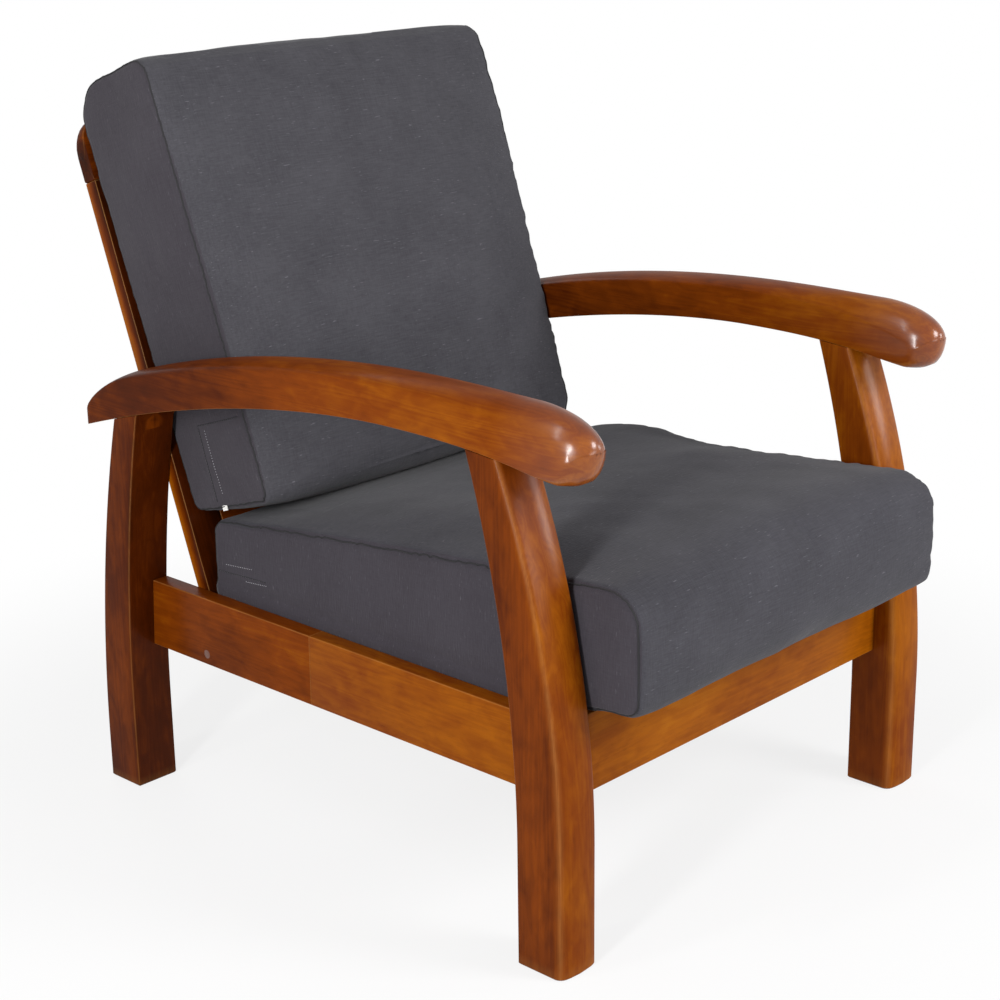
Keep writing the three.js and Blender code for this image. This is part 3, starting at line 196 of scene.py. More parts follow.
RAKE = math.radians(19.7)
wood_across = stained_wood("lacquered_hardwood_across", 0)
wood_along = stained_wood("lacquered_hardwood_along", 1)
wood_upright = stained_wood("lacquered_hardwood_upright", 2)
wood_raked = stained_wood("lacquered_hardwood_raked", 2, -RAKE)


# Legs: planks sawn to a bow and rounded over on the front, doweled into the rails and bolted up to the arms. The
# front legs lean back as they rise and the rear ones lean forward, all in the same stained hardwood.
FOOT_SPACING = 716
FOOT_CHAMFER = 2
LEG_ARRIS = 2.5
LEG_RINGS = 44
FRONT_FOOT_DEPTH = 60
REAR_FOOT_DEPTH = 57
FRONT_CROWN = 4
FRONT_CORNER_FOOT = 12
FRONT_CORNER_TOP = 8
ROUNDING = 5
FRONT_LIGHT_BAND = 15


def rounded(corners, parts=6):
    """An anticlockwise outline with rounded corners, as (point, outward normal, share of arris, corner)."""
    outline = []
    for index, (x, y, radius) in enumerate(corners):
        at = Vector((x, y))
        arriving = (at - Vector(corners[index - 1][:2])).normalized()
        leaving = (Vector(corners[(index + 1) % len(corners)][:2]) - at).normalized()
        turn = math.acos(max(-1, min(1, arriving.dot(leaving))))
        first = math.atan2(-arriving.x, arriving.y)
        outward = Vector((math.cos(first), math.sin(first)))
        centre = at - arriving * radius * math.tan(turn / 2) - outward * radius
        for step in range(parts + 1) if radius > 0 else [parts / 2]:
            angle = first + turn * step / parts
            normal = Vector((math.cos(angle), math.sin(angle)))
            point = centre + normal * radius if radius > 0 else at
            arris = max(0, 1 - abs(2 * step / parts - 1)) ** 2 if radius > 0 else 0
            outline.append((point, normal, arris, index))
    return outline


def skin(name, rings, end_stain=0.0):
    """A closed mesh through rings of (place, arris, stain and painted light), with a fan over each end."""
    count = len(rings[0])
    points = [point for ring in rings for point in ring]
    faces = []
    for start in range(0, (len(rings) - 1) * count, count):
        for i in range(count):
            j = (i + 1) % count
            faces.append((start + i, start + j, start + count + j, start + count + i))
    for first in (0, (len(rings) - 1) * count):
        ring = points[first : first + count]
        middle = sum((point for point, _, _ in ring), Vector()) / count
        points.append((middle, 0, ring[0][2] + end_stain))
        faces += [(first + i, first + (i + 1) % count, len(points) - 1) for i in range(count)]
    mesh = bpy.data.meshes.new(name)
    mesh.from_pydata([point for point, _, _ in points], [], faces)
    for at, label in ((1, "arris"), (2, "stain_and_light")):
        mesh.attributes.new(label, "FLOAT", "POINT").data.foreach_set("value", [point[at] for point in points])
    shaped = bmesh.new()
    shaped.from_mesh(mesh)
    bmesh.ops.recalc_face_normals(shaped, faces=shaped.faces)
    shaped.to_mesh(mesh)
    shaped.free()
    return mesh


def polish(mesh, amount):
    """Marks where the lacquer is polished brightest, as a share of each point."""
    shares = [amount(vertex.co) for vertex in mesh.vertices]
    mesh.attributes.new("polish", "FLOAT", "POINT").data.foreach_set("value", shares)


def show(name, mesh, material, body, stands_for=(), sharp=32):
    """Puts a mesh in the scene, smooth but for its sharp edges, riding on a body."""
    piece = bpy.data.objects.new(name, mesh)
    bpy.context.scene.collection.objects.link(piece)
    mesh.materials.append(material)
    mesh.shade_smooth()
    mesh.set_sharp_from_angle(angle=math.radians(sharp))
    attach(piece, body)
    if stands_for:
        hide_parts(*stands_for)
    return piece


def front_face(z):
    return bow(z - 138, 1105) - ROUNDING


def front_back(z):
    return FRONT_FOOT_DEPTH + bow(z - 138, 1395)


def rear_face(z):
    return FOOT_SPACING - bow(z - 115, 1668)


def rear_back(z):
    return FOOT_SPACING + REAR_FOOT_DEPTH - bow(z - 58, 1632)


def leg_section(centre, z, face, back, corner_foot, corner_top, crown, inset=0.0):
    """One level section of a leg, with a band on its front and front corners that carries its painted front lighting.
    """
    corner = lerp(corner_foot, corner_top, z / UNDERSIDE_TOP) - inset
    front, rear, side = face(z) + inset, back(z) - inset, LEG_HALF - inset
    outline = rounded(
        [
            (-side, front + crown, corner),
            (-side / 2, front + crown / 4, 0),
            (0, front, 0),
            (side / 2, front + crown / 4, 0),
            (side, front + crown, corner),
            (side, front + FRONT_LIGHT_BAND, 0),
            (side, rear, max(LEG_ARRIS - inset, 0.5)),
            (-side, rear, max(LEG_ARRIS - inset, 0.5)),
            (-side, front + FRONT_LIGHT_BAND, 0),
        ]
    )
    section = []
    for point, _, arris, index in outline:
        front_lighting = max(0, 1 - (point.y - front) / FRONT_LIGHT_BAND)
        soft = 0.6 if index in (0, 4) else 1
        section.append((centre + point.x, point.y, arris * soft, front_lighting))
    return section


def leg(name, centre, front_lighting, stain_and_light, glow, *section_of):
    """A leg as level sections, drawn up so that its head follows the arch of the arm."""
    heads = []
    for i in range(len(leg_section(centre, 0, *section_of))):
        z = UNDERSIDE_TOP
        for _ in range(4):
            z = underside(leg_section(centre, z, *section_of)[i][1]) - FIT
        heads.append(z)
    rings = [[(place(x, y, 0), 0.2, -0.2) for x, y, _, _ in leg_section(centre, 0, *section_of, FOOT_CHAMFER)]]
    for step in range(LEG_RINGS + 1):
        ring = []
        for i, head in enumerate(heads):
            z = lerp(FOOT_CHAMFER, head, step / LEG_RINGS)
            x, y, arris, front = leg_section(centre, z, *section_of)[i]
            # Painted light and shade: the front band is lighter on the front legs and darker on the rear ones, fading
            # up the leg, and glow paints light rising towards the head. The lowest ring takes the paler arris colour.
            ring.append((place(x, y, z), 0.6 * max(arris, 0.3 if step == 0 else 0), stain_and_light + front * front_lighting * (1 - 0.5 * step / LEG_RINGS) + glow * step / LEG_RINGS))
        rings.append(ring)
    return skin(name, rings)


# Each leg has a pocket bored near its head, through which the nut that draws the arm down is reached.
POCKET_RADIUS = 8.8
POCKET_BELOW_ARM = 13.5


def bore(piece, x, y, z, depth):
    """Bores a round pocket along Y, with a boolean, applied at once."""
    drill = bpy.data.meshes.new("drill")
    shaped = bmesh.new()
    turn = Matrix.Rotation(math.pi / 2, 4, "X")
    matrix = Matrix.Translation(place(x, y, z)) @ turn
    bmesh.ops.create_cone(
        shaped, cap_ends=True, segments=40, radius1=POCKET_RADIUS * MM, radius2=POCKET_RADIUS * MM, depth=depth * MM,
        matrix=matrix,
    )
    shaped.to_mesh(drill)
    shaped.free()
    tool = bpy.data.objects.new("drill", drill)
    bpy.context.scene.collection.objects.link(tool)
    cutter = piece.modifiers.new("pocket", "BOOLEAN")
    cutter.operation = "DIFFERENCE"
    cutter.solver = "EXACT"
    cutter.object = tool
    bake_modifiers(piece)
    bpy.data.objects.remove(tool)


def bake_modifiers(piece):
    """Keeps what a piece's modifiers make as its own mesh."""
    graph = bpy.context.evaluated_depsgraph_get()
    made = bpy.data.meshes.new_from_object(piece.evaluated_get(graph))
    piece.modifiers.clear()
    piece.data = made
    return piece


def head_polish(point):
    """The front of a front leg is rubbed bright by the sitter's calves, most of all under the arm."""
    height, depth = point.z / MM, (point.y - FACE_OF_FEET) / MM
    return 0.35 * math.exp(-(((height - 480) / 50) ** 2)) * (depth - front_face(height) < 9)


for word, side in hands.items():
    centre = side * LEG_CENTRE
    corners = (FRONT_CORNER_FOOT, FRONT_CORNER_TOP)
    # Front legs: painted light on their fronts, and on the far leg a painted light that grows towards its head.
    mesh = leg(f"front_leg_{word}", centre, 0.2, 0.01, 0.12 if side > 0 else 0, front_face, front_back, *corners, FRONT_CROWN)
    polish(mesh, head_polish)
    post = show(f"bowed_front_leg_{word}", mesh, wood_upright, "frame", [f"front_leg_{word}"])
    middle = (front_face(UNDERSIDE_TOP) + front_back(UNDERSIDE_TOP)) / 2
    pocket = underside(middle) - POCKET_BELOW_ARM
    bore(post, centre, front_back(pocket), pocket, 2 * (front_back(pocket) - middle - 1))
    # Rear legs: painted shade over the whole leg, and more of it on the front band.
    mesh = leg(f"rear_leg_{word}", centre, -0.1, -0.1, 0, rear_face, rear_back, LEG_ARRIS, LEG_ARRIS, 0)
    post = show(f"bowed_rear_leg_{word}", mesh, wood_upright, "frame", [f"rear_leg_{word}"])
    middle = (rear_face(UNDERSIDE_TOP) + rear_back(UNDERSIDE_TOP)) / 2
    pocket = underside(middle) - POCKET_BELOW_ARM
    bore(post, centre, rear_face(pocket), pocket, 2 * (middle - rear_face(pocket) - 1))


# Arms: thick bent-looking rests shaped from one plank on a spindle moulder, with flat sides, a crowned top, a
# bullnose in front and a thin rounded tail. The nose shows end grain, and its polish catches the lamps.
SIDE_HEIGHT = 41.7
SIDE_REAR_GROWTH = 6
SIDE_FRONT_LOSS = 24
CROWN_TOP = 618.5
CROWN_PEAK = 125
CROWN_REAR_DROP = 99
NOSE_HEIGHT = 579.8
NOSE_TOP_LENGTH = 84
NOSE_UNDER_LENGTH = 38
NOSE_DIP = 4
NOSE_OUT = 2
NOSE_EDGE = 24
TAIL_LENGTH = 90
ARM_STATIONS = 120
POLISH_LENGTH = 0.11


def round_end(distance, length):
    """A quarter of an ellipse: nothing at the tip, the whole size one length in from it."""
    left = max(0, min(1, 1 - distance / length))
    return math.sqrt(1 - left**2)


def smooth(share):
    """A share from 0 to 1 that starts and ends level."""
    share = max(0, min(1, share))
    return share * share * (3 - 2 * share)


def arm_section(centre, y):
    reach, left = y + ARM_FRONT, ARM_REAR - y
    over, under = round_end(reach, NOSE_TOP_LENGTH), round_end(reach, NOSE_UNDER_LENGTH) ** 0.85
    plan = round_end(reach, 40) ** 0.8 * lerp(0.8, 1, round_end(left, 9))
    tail = lerp(0.2, 1, round_end(left, TAIL_LENGTH))
    bottom = underside(y) - NOSE_DIP * smooth(1 - reach / 62)
    gain = sweep(y - UNDERSIDE_PEAK, ARM_REAR - UNDERSIDE_PEAK, SIDE_REAR_GROWTH, SWEEP_SHARE)
    loss = sweep(UNDERSIDE_PEAK - y, UNDERSIDE_PEAK + ARM_FRONT, SIDE_FRONT_LOSS, 3)
    height = SIDE_HEIGHT + gain - loss
    crown = CROWN_TOP - sweep(y - CROWN_PEAK, ARM_REAR - CROWN_PEAK, CROWN_REAR_DROP, 2.4)
    rise = (crown - bottom - height) * tail
    shoulder = bottom + height * tail
    edge = lerp(1.2, NOSE_EDGE, smooth(1 - reach / 66))
    outline = []
    for side in (-1, 1):
        for step in range(5) if side > 0 else range(4, -1, -1):
            angle = step / 4 * math.pi / 2
            across = side * (LEG_HALF - edge + edge * math.sin(angle))
            # The middle of each lower corner takes the paler arris colour, a painted highlight line along the
            # underside, faded out at the nose.
            outline.append((across, bottom + edge * (1 - math.cos(angle)), 0.8 * smooth(reach / 70) * (step == 2)))
    for share in (0.33, 0.67):
        outline.append((LEG_HALF, lerp(bottom + edge, shoulder, share), 0))
    for step in range(29):
        angle = step / 28 * math.pi
        outline.append((LEG_HALF * math.cos(angle), shoulder + rise * math.sin(angle), 0))
    for share in (0.67, 0.33):
        outline.append((-LEG_HALF, lerp(bottom + edge, shoulder, share), 0))
    brighter = 0.16 * max(0, 1 - y / 420) - 0.1 * max(0, (y - 420) / 350)
    nose_dark = 0.04 * max(0, 1 - reach / 75)
    section = []
    for x, z, arris in outline:
        if reach < NOSE_TOP_LENGTH:
            if z < NOSE_HEIGHT:
                bullnose = NOSE_HEIGHT - (NOSE_HEIGHT - bottom) * math.sqrt(max(0, 1 - (x / LEG_HALF) ** 2))
                z = lerp(z, bullnose, smooth(1 - reach / 36))
            z = NOSE_HEIGHT + (z - NOSE_HEIGHT) * (over if z > NOSE_HEIGHT else under)
        ahead = NOSE_OUT * smooth(1 - reach / 60)
        section.append((place(centre + x * plan, y - ahead, z), arris, 0.02 + brighter - nose_dark))
    return section


for word, side in hands.items():
    stations = []
    for step in range(ARM_STATIONS + 1):
        share = (1 - math.cos(math.pi * step / ARM_STATIONS)) / 2
        stations.append(lerp(-ARM_FRONT, ARM_REAR, lerp(step / ARM_STATIONS, share, 0.97)))
    stations[0] = -ARM_FRONT + 0.15
    mesh = skin(f"arm_{word}", [arm_section(side * LEG_CENTRE, y) for y in stations])
    tip = place(0, -ARM_FRONT, 0).y
    polish(mesh, lambda point: max(0, 1 - (point.y - tip) / POLISH_LENGTH))
    show(f"crowned_arm_{word}", mesh, wood_along, "frame", [f"arm_{word}"], 40)


# Rails: planed boards with their arrises just taken off. The side rails run between the legs; the one on the
# sitter's right is glued up from two lengths, which shows as a hairline joint. Cross rails close the seat frame.
rail_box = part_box("front_rail")
RAIL_TOP = rail_box[1].z / MM
RAIL_THICKNESS = (rail_box[1].y - rail_box[0].y) / MM
SIDE_RAIL_HEIGHT = 87
RAIL_EDGE = 1.8
RAIL_JOINT = 418
BACK_FOOT = 627.4


def board(name, corners, start, end, lay, stain_and_light=0.0, end_edge=1.0, parts=4, stations=2):
    """A board with the given section, run from start to end, its end corners rounded as well."""
    outline = rounded(corners, parts)
    run = [(start + end_edge * (1 - math.cos(a)), end_edge * (1 - math.sin(a)), math.sin(2 * a))
           for a in (0, math.pi / 8, math.pi / 4, math.pi * 3 / 8, math.pi / 2)]
    rings = run + [(lerp(start, end, k / stations), 0, 0) for k in range(1, stations)]
    rings += [(start + end - w, inset, edge) for w, inset, edge in reversed(run)]
    made = []
    for index, (w, inset, edge) in enumerate(rings):
        ring = []
        for point, normal, arris, _ in outline:
            u, v = point - normal * inset
            dark = -0.28 if index in (0, len(rings) - 1) else 0
            tone = stain_and_light(u, v) if callable(stain_and_light) else stain_and_light
            # Arrises and the rounded ends take the paler arris colour with its painted highlight line; the darker end
            # rings are end grain.
            ring.append((lay(u, v, w), 0.6 * max(arris, edge), tone + dark))
        made.append(ring)
    return skin(name, made)


def rectangle(x, y, width, height, edge):
    w, h = width / 2, height / 2
    return [(x - w, y - h, edge), (x + w, y - h, edge), (x + w, y + h, edge), (x - w, y + h, edge)]


for word, side in hands.items():
    middle = side * (HALF_CLEAR + RAIL_THICKNESS / 2)
    section = rectangle(middle, RAIL_TOP - SIDE_RAIL_HEIGHT / 2, RAIL_THICKNESS, SIDE_RAIL_HEIGHT, RAIL_EDGE)
    lengths = [(0, 1)] if side > 0 else [(0, 0.548), (0.5485, 1)]
    for index, (start, end) in enumerate(lengths):

        def between_legs(x, z, w, run=1000):
            return place(x, lerp(front_back(z) + FIT, rear_face(z) - FIT, w / run), z)

        name = f"planed_side_rail_{word}_{index + 1}"
        mesh = board(name, section, start * 1000, end * 1000, between_legs, 0.15 - 0.08 * index, 0.9)
        stands_for = [f"side_rail_{word}"] if index == 0 else []
        show(name, mesh, wood_along, "frame", stands_for, 50)

for name, section in (
    ("front_rail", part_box("front_rail")),
    ("rear_rail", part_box("rear_rail")),
):
    low, high = section
    near, far = (low.y - FACE_OF_FEET) / MM, (high.y - FACE_OF_FEET) / MM
    corners = rectangle((near + far) / 2, (low.z + high.z) / 2 / MM, far - near, (high.z - low.z) / MM, RAIL_EDGE)
    # The front rail is painted lighter: painted light on a rail that the seat cushion's overhang shades.
    tone = 0.24 if name == "front_rail" else 0
    mesh = board(name, corners, -HALF_CLEAR + FIT, HALF_CLEAR - FIT, lambda y, z, x: place(x, y, z), tone)
    show(f"planed_{name}", mesh, wood_across, "frame", [name], 50)


# Back frame: two straight stiles leaning back, tied by a crest rail with rounded shoulders over their ends, a lower
# rail and five flat slats. It is screwed to the rails and the rear legs, and the back cushion leans on it.
BACK_THICKNESS = 21
BACK_EDGE = 1.5
STILE_WIDTH = 48
STILE_BELOW = 84
STILE_ABOVE = 517.4
CREST_HEIGHT = 74
CREST_CORNER = 26
CREST_BACK_ROUND = 16
CREST_FRONT_ROUND = 4
LOWER_RAIL_LIFT = 50
LOWER_RAIL_HEIGHT = 50
FRAME_HALF = HALF_CLEAR - FIT
INNER_HALF = FRAME_HALF - STILE_WIDTH


def raked(x, depth, lift):
    """A place in the leaning back: across, behind its front plane, and up the rake from the rails' top."""
    y = BACK_FOOT + lift * math.sin(RAKE) + depth * math.cos(RAKE)
    return place(x, y, RAIL_TOP + lift * math.cos(RAKE) - depth * math.sin(RAKE))


def stile_light_and_shade(across, depth):
    """The stiles' outer sides are painted lighter as painted light; their fronts, under the cushion, are painted
    darker as painted shade.
    """
    return 0.3 if abs(across) > FRAME_HALF - 3 and depth > 2 else -0.3 if depth < 3 else -0.08


for word, side in hands.items():
    section = rectangle(side * (FRAME_HALF - STILE_WIDTH / 2), BACK_THICKNESS / 2, STILE_WIDTH, BACK_THICKNESS, BACK_EDGE)
    mesh = board(f"stile_{word}", section, -STILE_BELOW, STILE_ABOVE - FIT, raked, stile_light_and_shade)
    show(f"raked_stile_{word}", mesh, wood_raked, "frame", [f"back_stile_{word}"], 50)

rings = []
top = STILE_ABOVE + CREST_HEIGHT
for step in range(-30, 31):
    share = step / 30
    x = FRAME_HALF * (math.copysign(1 - (1 - abs(share)) ** 1.8, share))
    over = max(0, CREST_CORNER - (FRAME_HALF - abs(x)))
    drop = CREST_CORNER - math.sqrt(max(CREST_CORNER**2 - over**2, 0))
    low = STILE_ABOVE + max(0, 1.2 - (FRAME_HALF - abs(x)))
    corners = [
        (0, low, BACK_EDGE),
        (BACK_THICKNESS, low, BACK_EDGE),
        (BACK_THICKNESS, top - drop, CREST_BACK_ROUND),
        (0, top - drop, CREST_FRONT_ROUND),
    ]
    end = abs(share) == 1
    # The crest's arrises, apart from the back round, take the paler arris colour with its painted highlight line.
    rings.append([(raked(x, p.x, p.y), 0.3 * a * (i != 2), -0.12 - 0.16 * end) for p, _, a, i in rounded(corners)])
show("crest_rail_shaped", skin("crest", rings, -0.1), wood_across, "frame", ["crest_rail"], 40)

corners = rectangle(BACK_THICKNESS / 2, LOWER_RAIL_LIFT + LOWER_RAIL_HEIGHT / 2, BACK_THICKNESS, LOWER_RAIL_HEIGHT, BACK_EDGE)
mesh = board("lower_rail", corners, -INNER_HALF + FIT, INNER_HALF - FIT, lambda depth, lift, x: raked(x, depth, lift))
show("planed_lower_back_rail", mesh, wood_across, "frame", ["lower_back_rail"], 50)

for index in range(1, 6):
    low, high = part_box(f"back_slat_{index}")
    middle, width = (low.x + high.x) / 2 / MM, (high.x - low.x) / MM
    section = rectangle(middle, BACK_THICKNESS / 2, width, 10, 2)
    lower, upper = LOWER_RAIL_LIFT + LOWER_RAIL_HEIGHT, STILE_ABOVE
    mesh = board(f"slat_{index}", section, lower - 2, upper + 2, raked, 0.03)
    show(f"back_slat_{index}_sanded", mesh, wood_raked, "frame", [f"back_slat_{index}"], 50)


# Seat platform: slats on cleats, stained like the rails because their ends show at the cushion's edge, and
# rough glue blocks in the corners, left as sawn pine, with pale early wood, darker rings and no shine.
def sawn_pine(name, grain):
    material, tree = new_material(name)
    here = add(tree, "ShaderNodeTexCoord").outputs["Object"]
    size = [9 * MM] * 3
    size[grain] = 400 * MM
    laid = add(tree, "ShaderNodeMapping", {"Vector": here, "Scale": size}, vector_type="TEXTURE").outputs[0]
    rings_of = add(tree, "ShaderNodeTexNoise", {"Vector": laid, "Scale": 1, "Detail": 1, "Distortion": 0.5}).outputs[0]
    wave = add(tree, "ShaderNodeMath", {0: rings_of, 1: 30}, operation="MULTIPLY").outputs[0]
    wave = add(tree, "ShaderNodeMath", {0: wave}, operation="SINE").outputs[0]
    share = add(tree, "ShaderNodeMapRange", {"Value": wave, "From Min": -1}).outputs[0]
    inputs = {0: share, 6: linear("#c9a06a"), 7: linear("#a97a45")}
    colour = add(tree, "ShaderNodeMix", inputs, data_type="RGBA").outputs[2]
    size[grain] = 30 * MM
    saw = add(tree, "ShaderNodeMapping", {"Vector": here, "Scale": [s / 6 for s in size]}, vector_type="TEXTURE")
    rough = add(tree, "ShaderNodeTexNoise", {"Vector": saw.outputs[0], "Scale": 1, "Detail": 2}).outputs[0]
    bump = add(tree, "ShaderNodeBump", {"Strength": 0.5, "Distance": 0.0004, "Height": rough}).outputs[0]
    inputs = {"Base Color": colour, "Roughness": 0.78, "Normal": bump}
    finish_surface(tree, add(tree, "ShaderNodeBsdfPrincipled", inputs).outputs[0])
    return material


def refinish(name, material):
    """Gives a CAD node that is shown as it is a better material."""
    nodes[name].data.materials.clear()
    nodes[name].data.materials.append(material)


pine_across = sawn_pine("sawn_pine_across", 0)
for index in range(1, 8):
    refinish(f"seat_slat_{index}", wood_across)
for word in hands:
    refinish(f"seat_cleat_{word}", wood_along)
    for end in ("front", "rear"):
        refinish(f"corner_block_{end}_{word}", pine_across)


# Fastenings: zinc plated screws, studs and nuts. The plating is a thin bright metal with a faint cloudy bloom, which
# gives blurred grey reflections.
def zinc_plate():
    material, tree = new_material("zinc_plated_steel")
    here = add(tree, "ShaderNodeTexCoord").outputs["Object"]
    bloom = add(tree, "ShaderNodeTexNoise", {"Vector": here, "Scale": 260, "Detail": 3}).outputs[0]
    inputs = {0: bloom, 6: linear("#8f9294"), 7: linear("#c4c6c8")}
    colour = add(tree, "ShaderNodeMix", inputs, data_type="RGBA").outputs[2]
    rough = add(tree, "ShaderNodeMapRange", {"Value": bloom, "To Min": 0.24, "To Max": 0.48}).outputs[0]
    inputs = {"Base Color": colour, "Metallic": 1, "Roughness": rough}
    finish_surface(tree, add(tree, "ShaderNodeBsdfPrincipled", inputs).outputs[0])
    return material


zinc = zinc_plate()
for word in hands:
    for end in ("front", "rear"):
        refinish(f"arm_stud_{end}_{word}", zinc)
        refinish(f"arm_nut_{end}_{word}", zinc)
    refinish(f"foot_screw_{word}", zinc)
    refinish(f"back_screw_{word}", zinc)


# Plugs: short dowels of darker wood, glued over the heads of the foot screws and sanded almost flush.
def filler():
    material, tree = new_material("dark_wood_filler")
    here = add(tree, "ShaderNodeTexCoord").outputs["Object"]
    grain = add(tree, "ShaderNodeTexNoise", {"Vector": here, "Scale": 700, "Detail": 2}).outputs[0]
    inputs = {0: grain, 6: linear("#3a1606"), 7: linear("#6b3412")}
    colour = add(tree, "ShaderNodeMix", inputs, data_type="RGBA").outputs[2]
    inputs = {"Base Color": colour, "Roughness": 0.4, "Coat Weight": 0.6, "Coat Roughness": 0.12}
    finish_surface(tree, add(tree, "ShaderNodeBsdfPrincipled", inputs).outputs[0])
    return material


dark_filler = filler()
for word, side in hands.items():
    low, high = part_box(f"rail_plug_{word}")
    radius = (high.z - low.z) / 2
    middle = (low + high) / 2
    rings = []
    face = high.x if side > 0 else low.x
    for inset, proud in ((0, -0.004), (0, 0), (0.1, 0.00025), (0.5, 0.0004), (0.8, 0.00045)):
        turn = [math.tau * k / 36 for k in range(36)]
        reach = radius * (1 - inset)
        x = face + side * proud
        rings.append([(Vector((x, middle.y + reach * math.cos(a), middle.z + reach * math.sin(a))), 0, 0) for a in turn])
    show(f"rail_plug_{word}_sanded", skin(f"plug_{word}", rings), dark_filler, "frame", [f"rail_plug_{word}"])


# Cushions: charcoal linen-look polyester sewn as box cushions. One long panel wraps the foam from the rear edge over
# the top and round the front to the underside, and a flat gusset closes each side, joined to it by a plain seam.
# The weave has a thin warp and a slubby weft that runs across the chair, a little paler than its ground.
THREAD = 1.5
SLUB_LENGTH = 17
CHARCOAL_DARK = "#37363b"
CHARCOAL_PALE = "#4c4b50"
# The seat has the same cloth, painted darker as painted shade on its top.
SEAT_SHADED_DARK = "#323136"
SEAT_SHADED_PALE = "#45444a"
SLUB_PALE = "#77767c"
# Gussets are painted darker and a little reddish as painted shade.
GUSSET_SHADE = "#372f36"


def woven_charcoal(name, turn, dark, pale):
    """The cover cloth, its weft across the chair on the panels and its threads upright on the gussets."""
    material, tree = new_material(name)
    coordinates = add(tree, "ShaderNodeTexCoord")
    here = coordinates.outputs["Object"]
    facing = add(tree, "ShaderNodeSeparateXYZ", {0: coordinates.outputs["Normal"]}).outputs[0]
    facing = add(tree, "ShaderNodeMath", {0: facing}, operation="ABSOLUTE").outputs[0]
    on_gusset = add(tree, "ShaderNodeMapRange", {"Value": facing, "From Min": 0.68, "From Max": 0.72}).outputs[0]

    def threads(panel, gusset, detail, offset):
        inputs = {"Vector": here, "Location": [offset] * 3, "Rotation": (turn, 0, 0), "Scale": [s * MM for s in panel]}
        flat = add(tree, "ShaderNodeMapping", inputs, vector_type="TEXTURE").outputs[0]
        inputs["Scale"] = [s * MM for s in gusset]
        upright = add(tree, "ShaderNodeMapping", inputs, vector_type="TEXTURE").outputs[0]
        laid = add(tree, "ShaderNodeMix", {0: on_gusset, 4: flat, 5: upright}, data_type="VECTOR").outputs[1]
        return add(tree, "ShaderNodeTexNoise", {"Vector": laid, "Scale": 1, "Detail": detail}).outputs[0]

    def math_of(operation, *values):
        return add(tree, "ShaderNodeMath", dict(enumerate(values)), operation=operation).outputs[0]

    weft = threads((SLUB_LENGTH, THREAD, THREAD), (THREAD, THREAD, SLUB_LENGTH), 2, 0.11)
    warp = threads((THREAD, 11, 11), (THREAD * 4, 11, THREAD), 2, 0.37)
    slub = threads((9, 1.3, 1.3), (1.3, 1.3, 9), 0, 0.83)
    cloud = threads((70, 70, 70), (70, 70, 70), 2, 0.53)
    tone = math_of("MULTIPLY_ADD", weft, 0.4, math_of("MULTIPLY", warp, 0.3))
    tone = math_of("MULTIPLY_ADD", cloud, 0.34, tone)
    shade = add(tree, "ShaderNodeMapRange", {"Value": tone, "From Min": 0.3, "From Max": 0.75}).outputs[0]
    inputs = {0: shade, 6: linear(dark), 7: linear(pale)}
    ground = add(tree, "ShaderNodeMix", inputs, data_type="RGBA").outputs[2]
    lit = add(tree, "ShaderNodeMapRange", {"Value": slub, "From Min": 0.77, "From Max": 0.87, "To Max": 0.45}).outputs[0]
    inputs = {0: lit, 6: ground, 7: linear(SLUB_PALE)}
    flecked = add(tree, "ShaderNodeMix", inputs, data_type="RGBA").outputs[2]
    # Painted shade: faces that look sideways, the gussets, are mixed towards the darker gusset colour.
    inputs = {0: math_of("MULTIPLY", on_gusset, 0.4), 6: flecked, 7: linear(GUSSET_SHADE)}
    colour = add(tree, "ShaderNodeMix", inputs, data_type="RGBA").outputs[2]
    relief = math_of("ADD", weft, math_of("MULTIPLY_ADD", warp, 0.8, slub))
    bump = add(tree, "ShaderNodeBump", {"Strength": 0.6, "Distance": 0.0005, "Height": relief}).outputs[0]
    inputs = {
        "Base Color": colour,
        "Roughness": 0.92,
        "Specular IOR Level": 0.15,
        "Sheen Weight": 0.08,
        "Sheen Roughness": 0.5,
        "Normal": bump,
    }
    finish_surface(tree, add(tree, "ShaderNodeBsdfPrincipled", inputs).outputs[0])
    return material


def thread_cotton(name, code):
    """Sewing thread: spun polyester, matt, with a fine twist that only shows as a slight change of tone. In near
    black it also colours the painted shadow lines laid in the seams and along the placket fold.
    """
    material, tree = new_material(name)
    here = add(tree, "ShaderNodeTexCoord").outputs["Object"]
    twist = add(tree, "ShaderNodeTexNoise", {"Vector": here, "Scale": 900}).outputs[0]
    dark = [c * 0.6 for c in linear(code)[:3]] + [1]
    colour = add(tree, "ShaderNodeMix", {0: twist, 6: dark, 7: linear(code)}, data_type="RGBA").outputs[2]
    inputs = {"Base Color": colour, "Roughness": 0.8}
    finish_surface(tree, add(tree, "ShaderNodeBsdfPrincipled", inputs).outputs[0])
    return material


# The seat's copy of the cloth is painted darker as painted shade.
seat_cloth = woven_charcoal("charcoal_weave_seat", 0, SEAT_SHADED_DARK, SEAT_SHADED_PALE)
back_cloth = woven_charcoal("charcoal_weave_back", -RAKE, CHARCOAL_DARK, CHARCOAL_PALE)
# Near black: painted shadow in the seam grooves and along the placket fold.
seam_shadow = thread_cotton("seam_groove_shadow", "#19181b")
pale_thread = thread_cotton("pale_topstitch", "#b3b2b8")
grey_thread = thread_cotton("grey_seam_thread", "#57565b")

DRAW_IN = 4
GUSSET_SWELL = 2.5
CLEAR = (HALF_CLEAR - 0.4) * MM
ARMS_TOP = (CROWN_TOP + 8) * MM


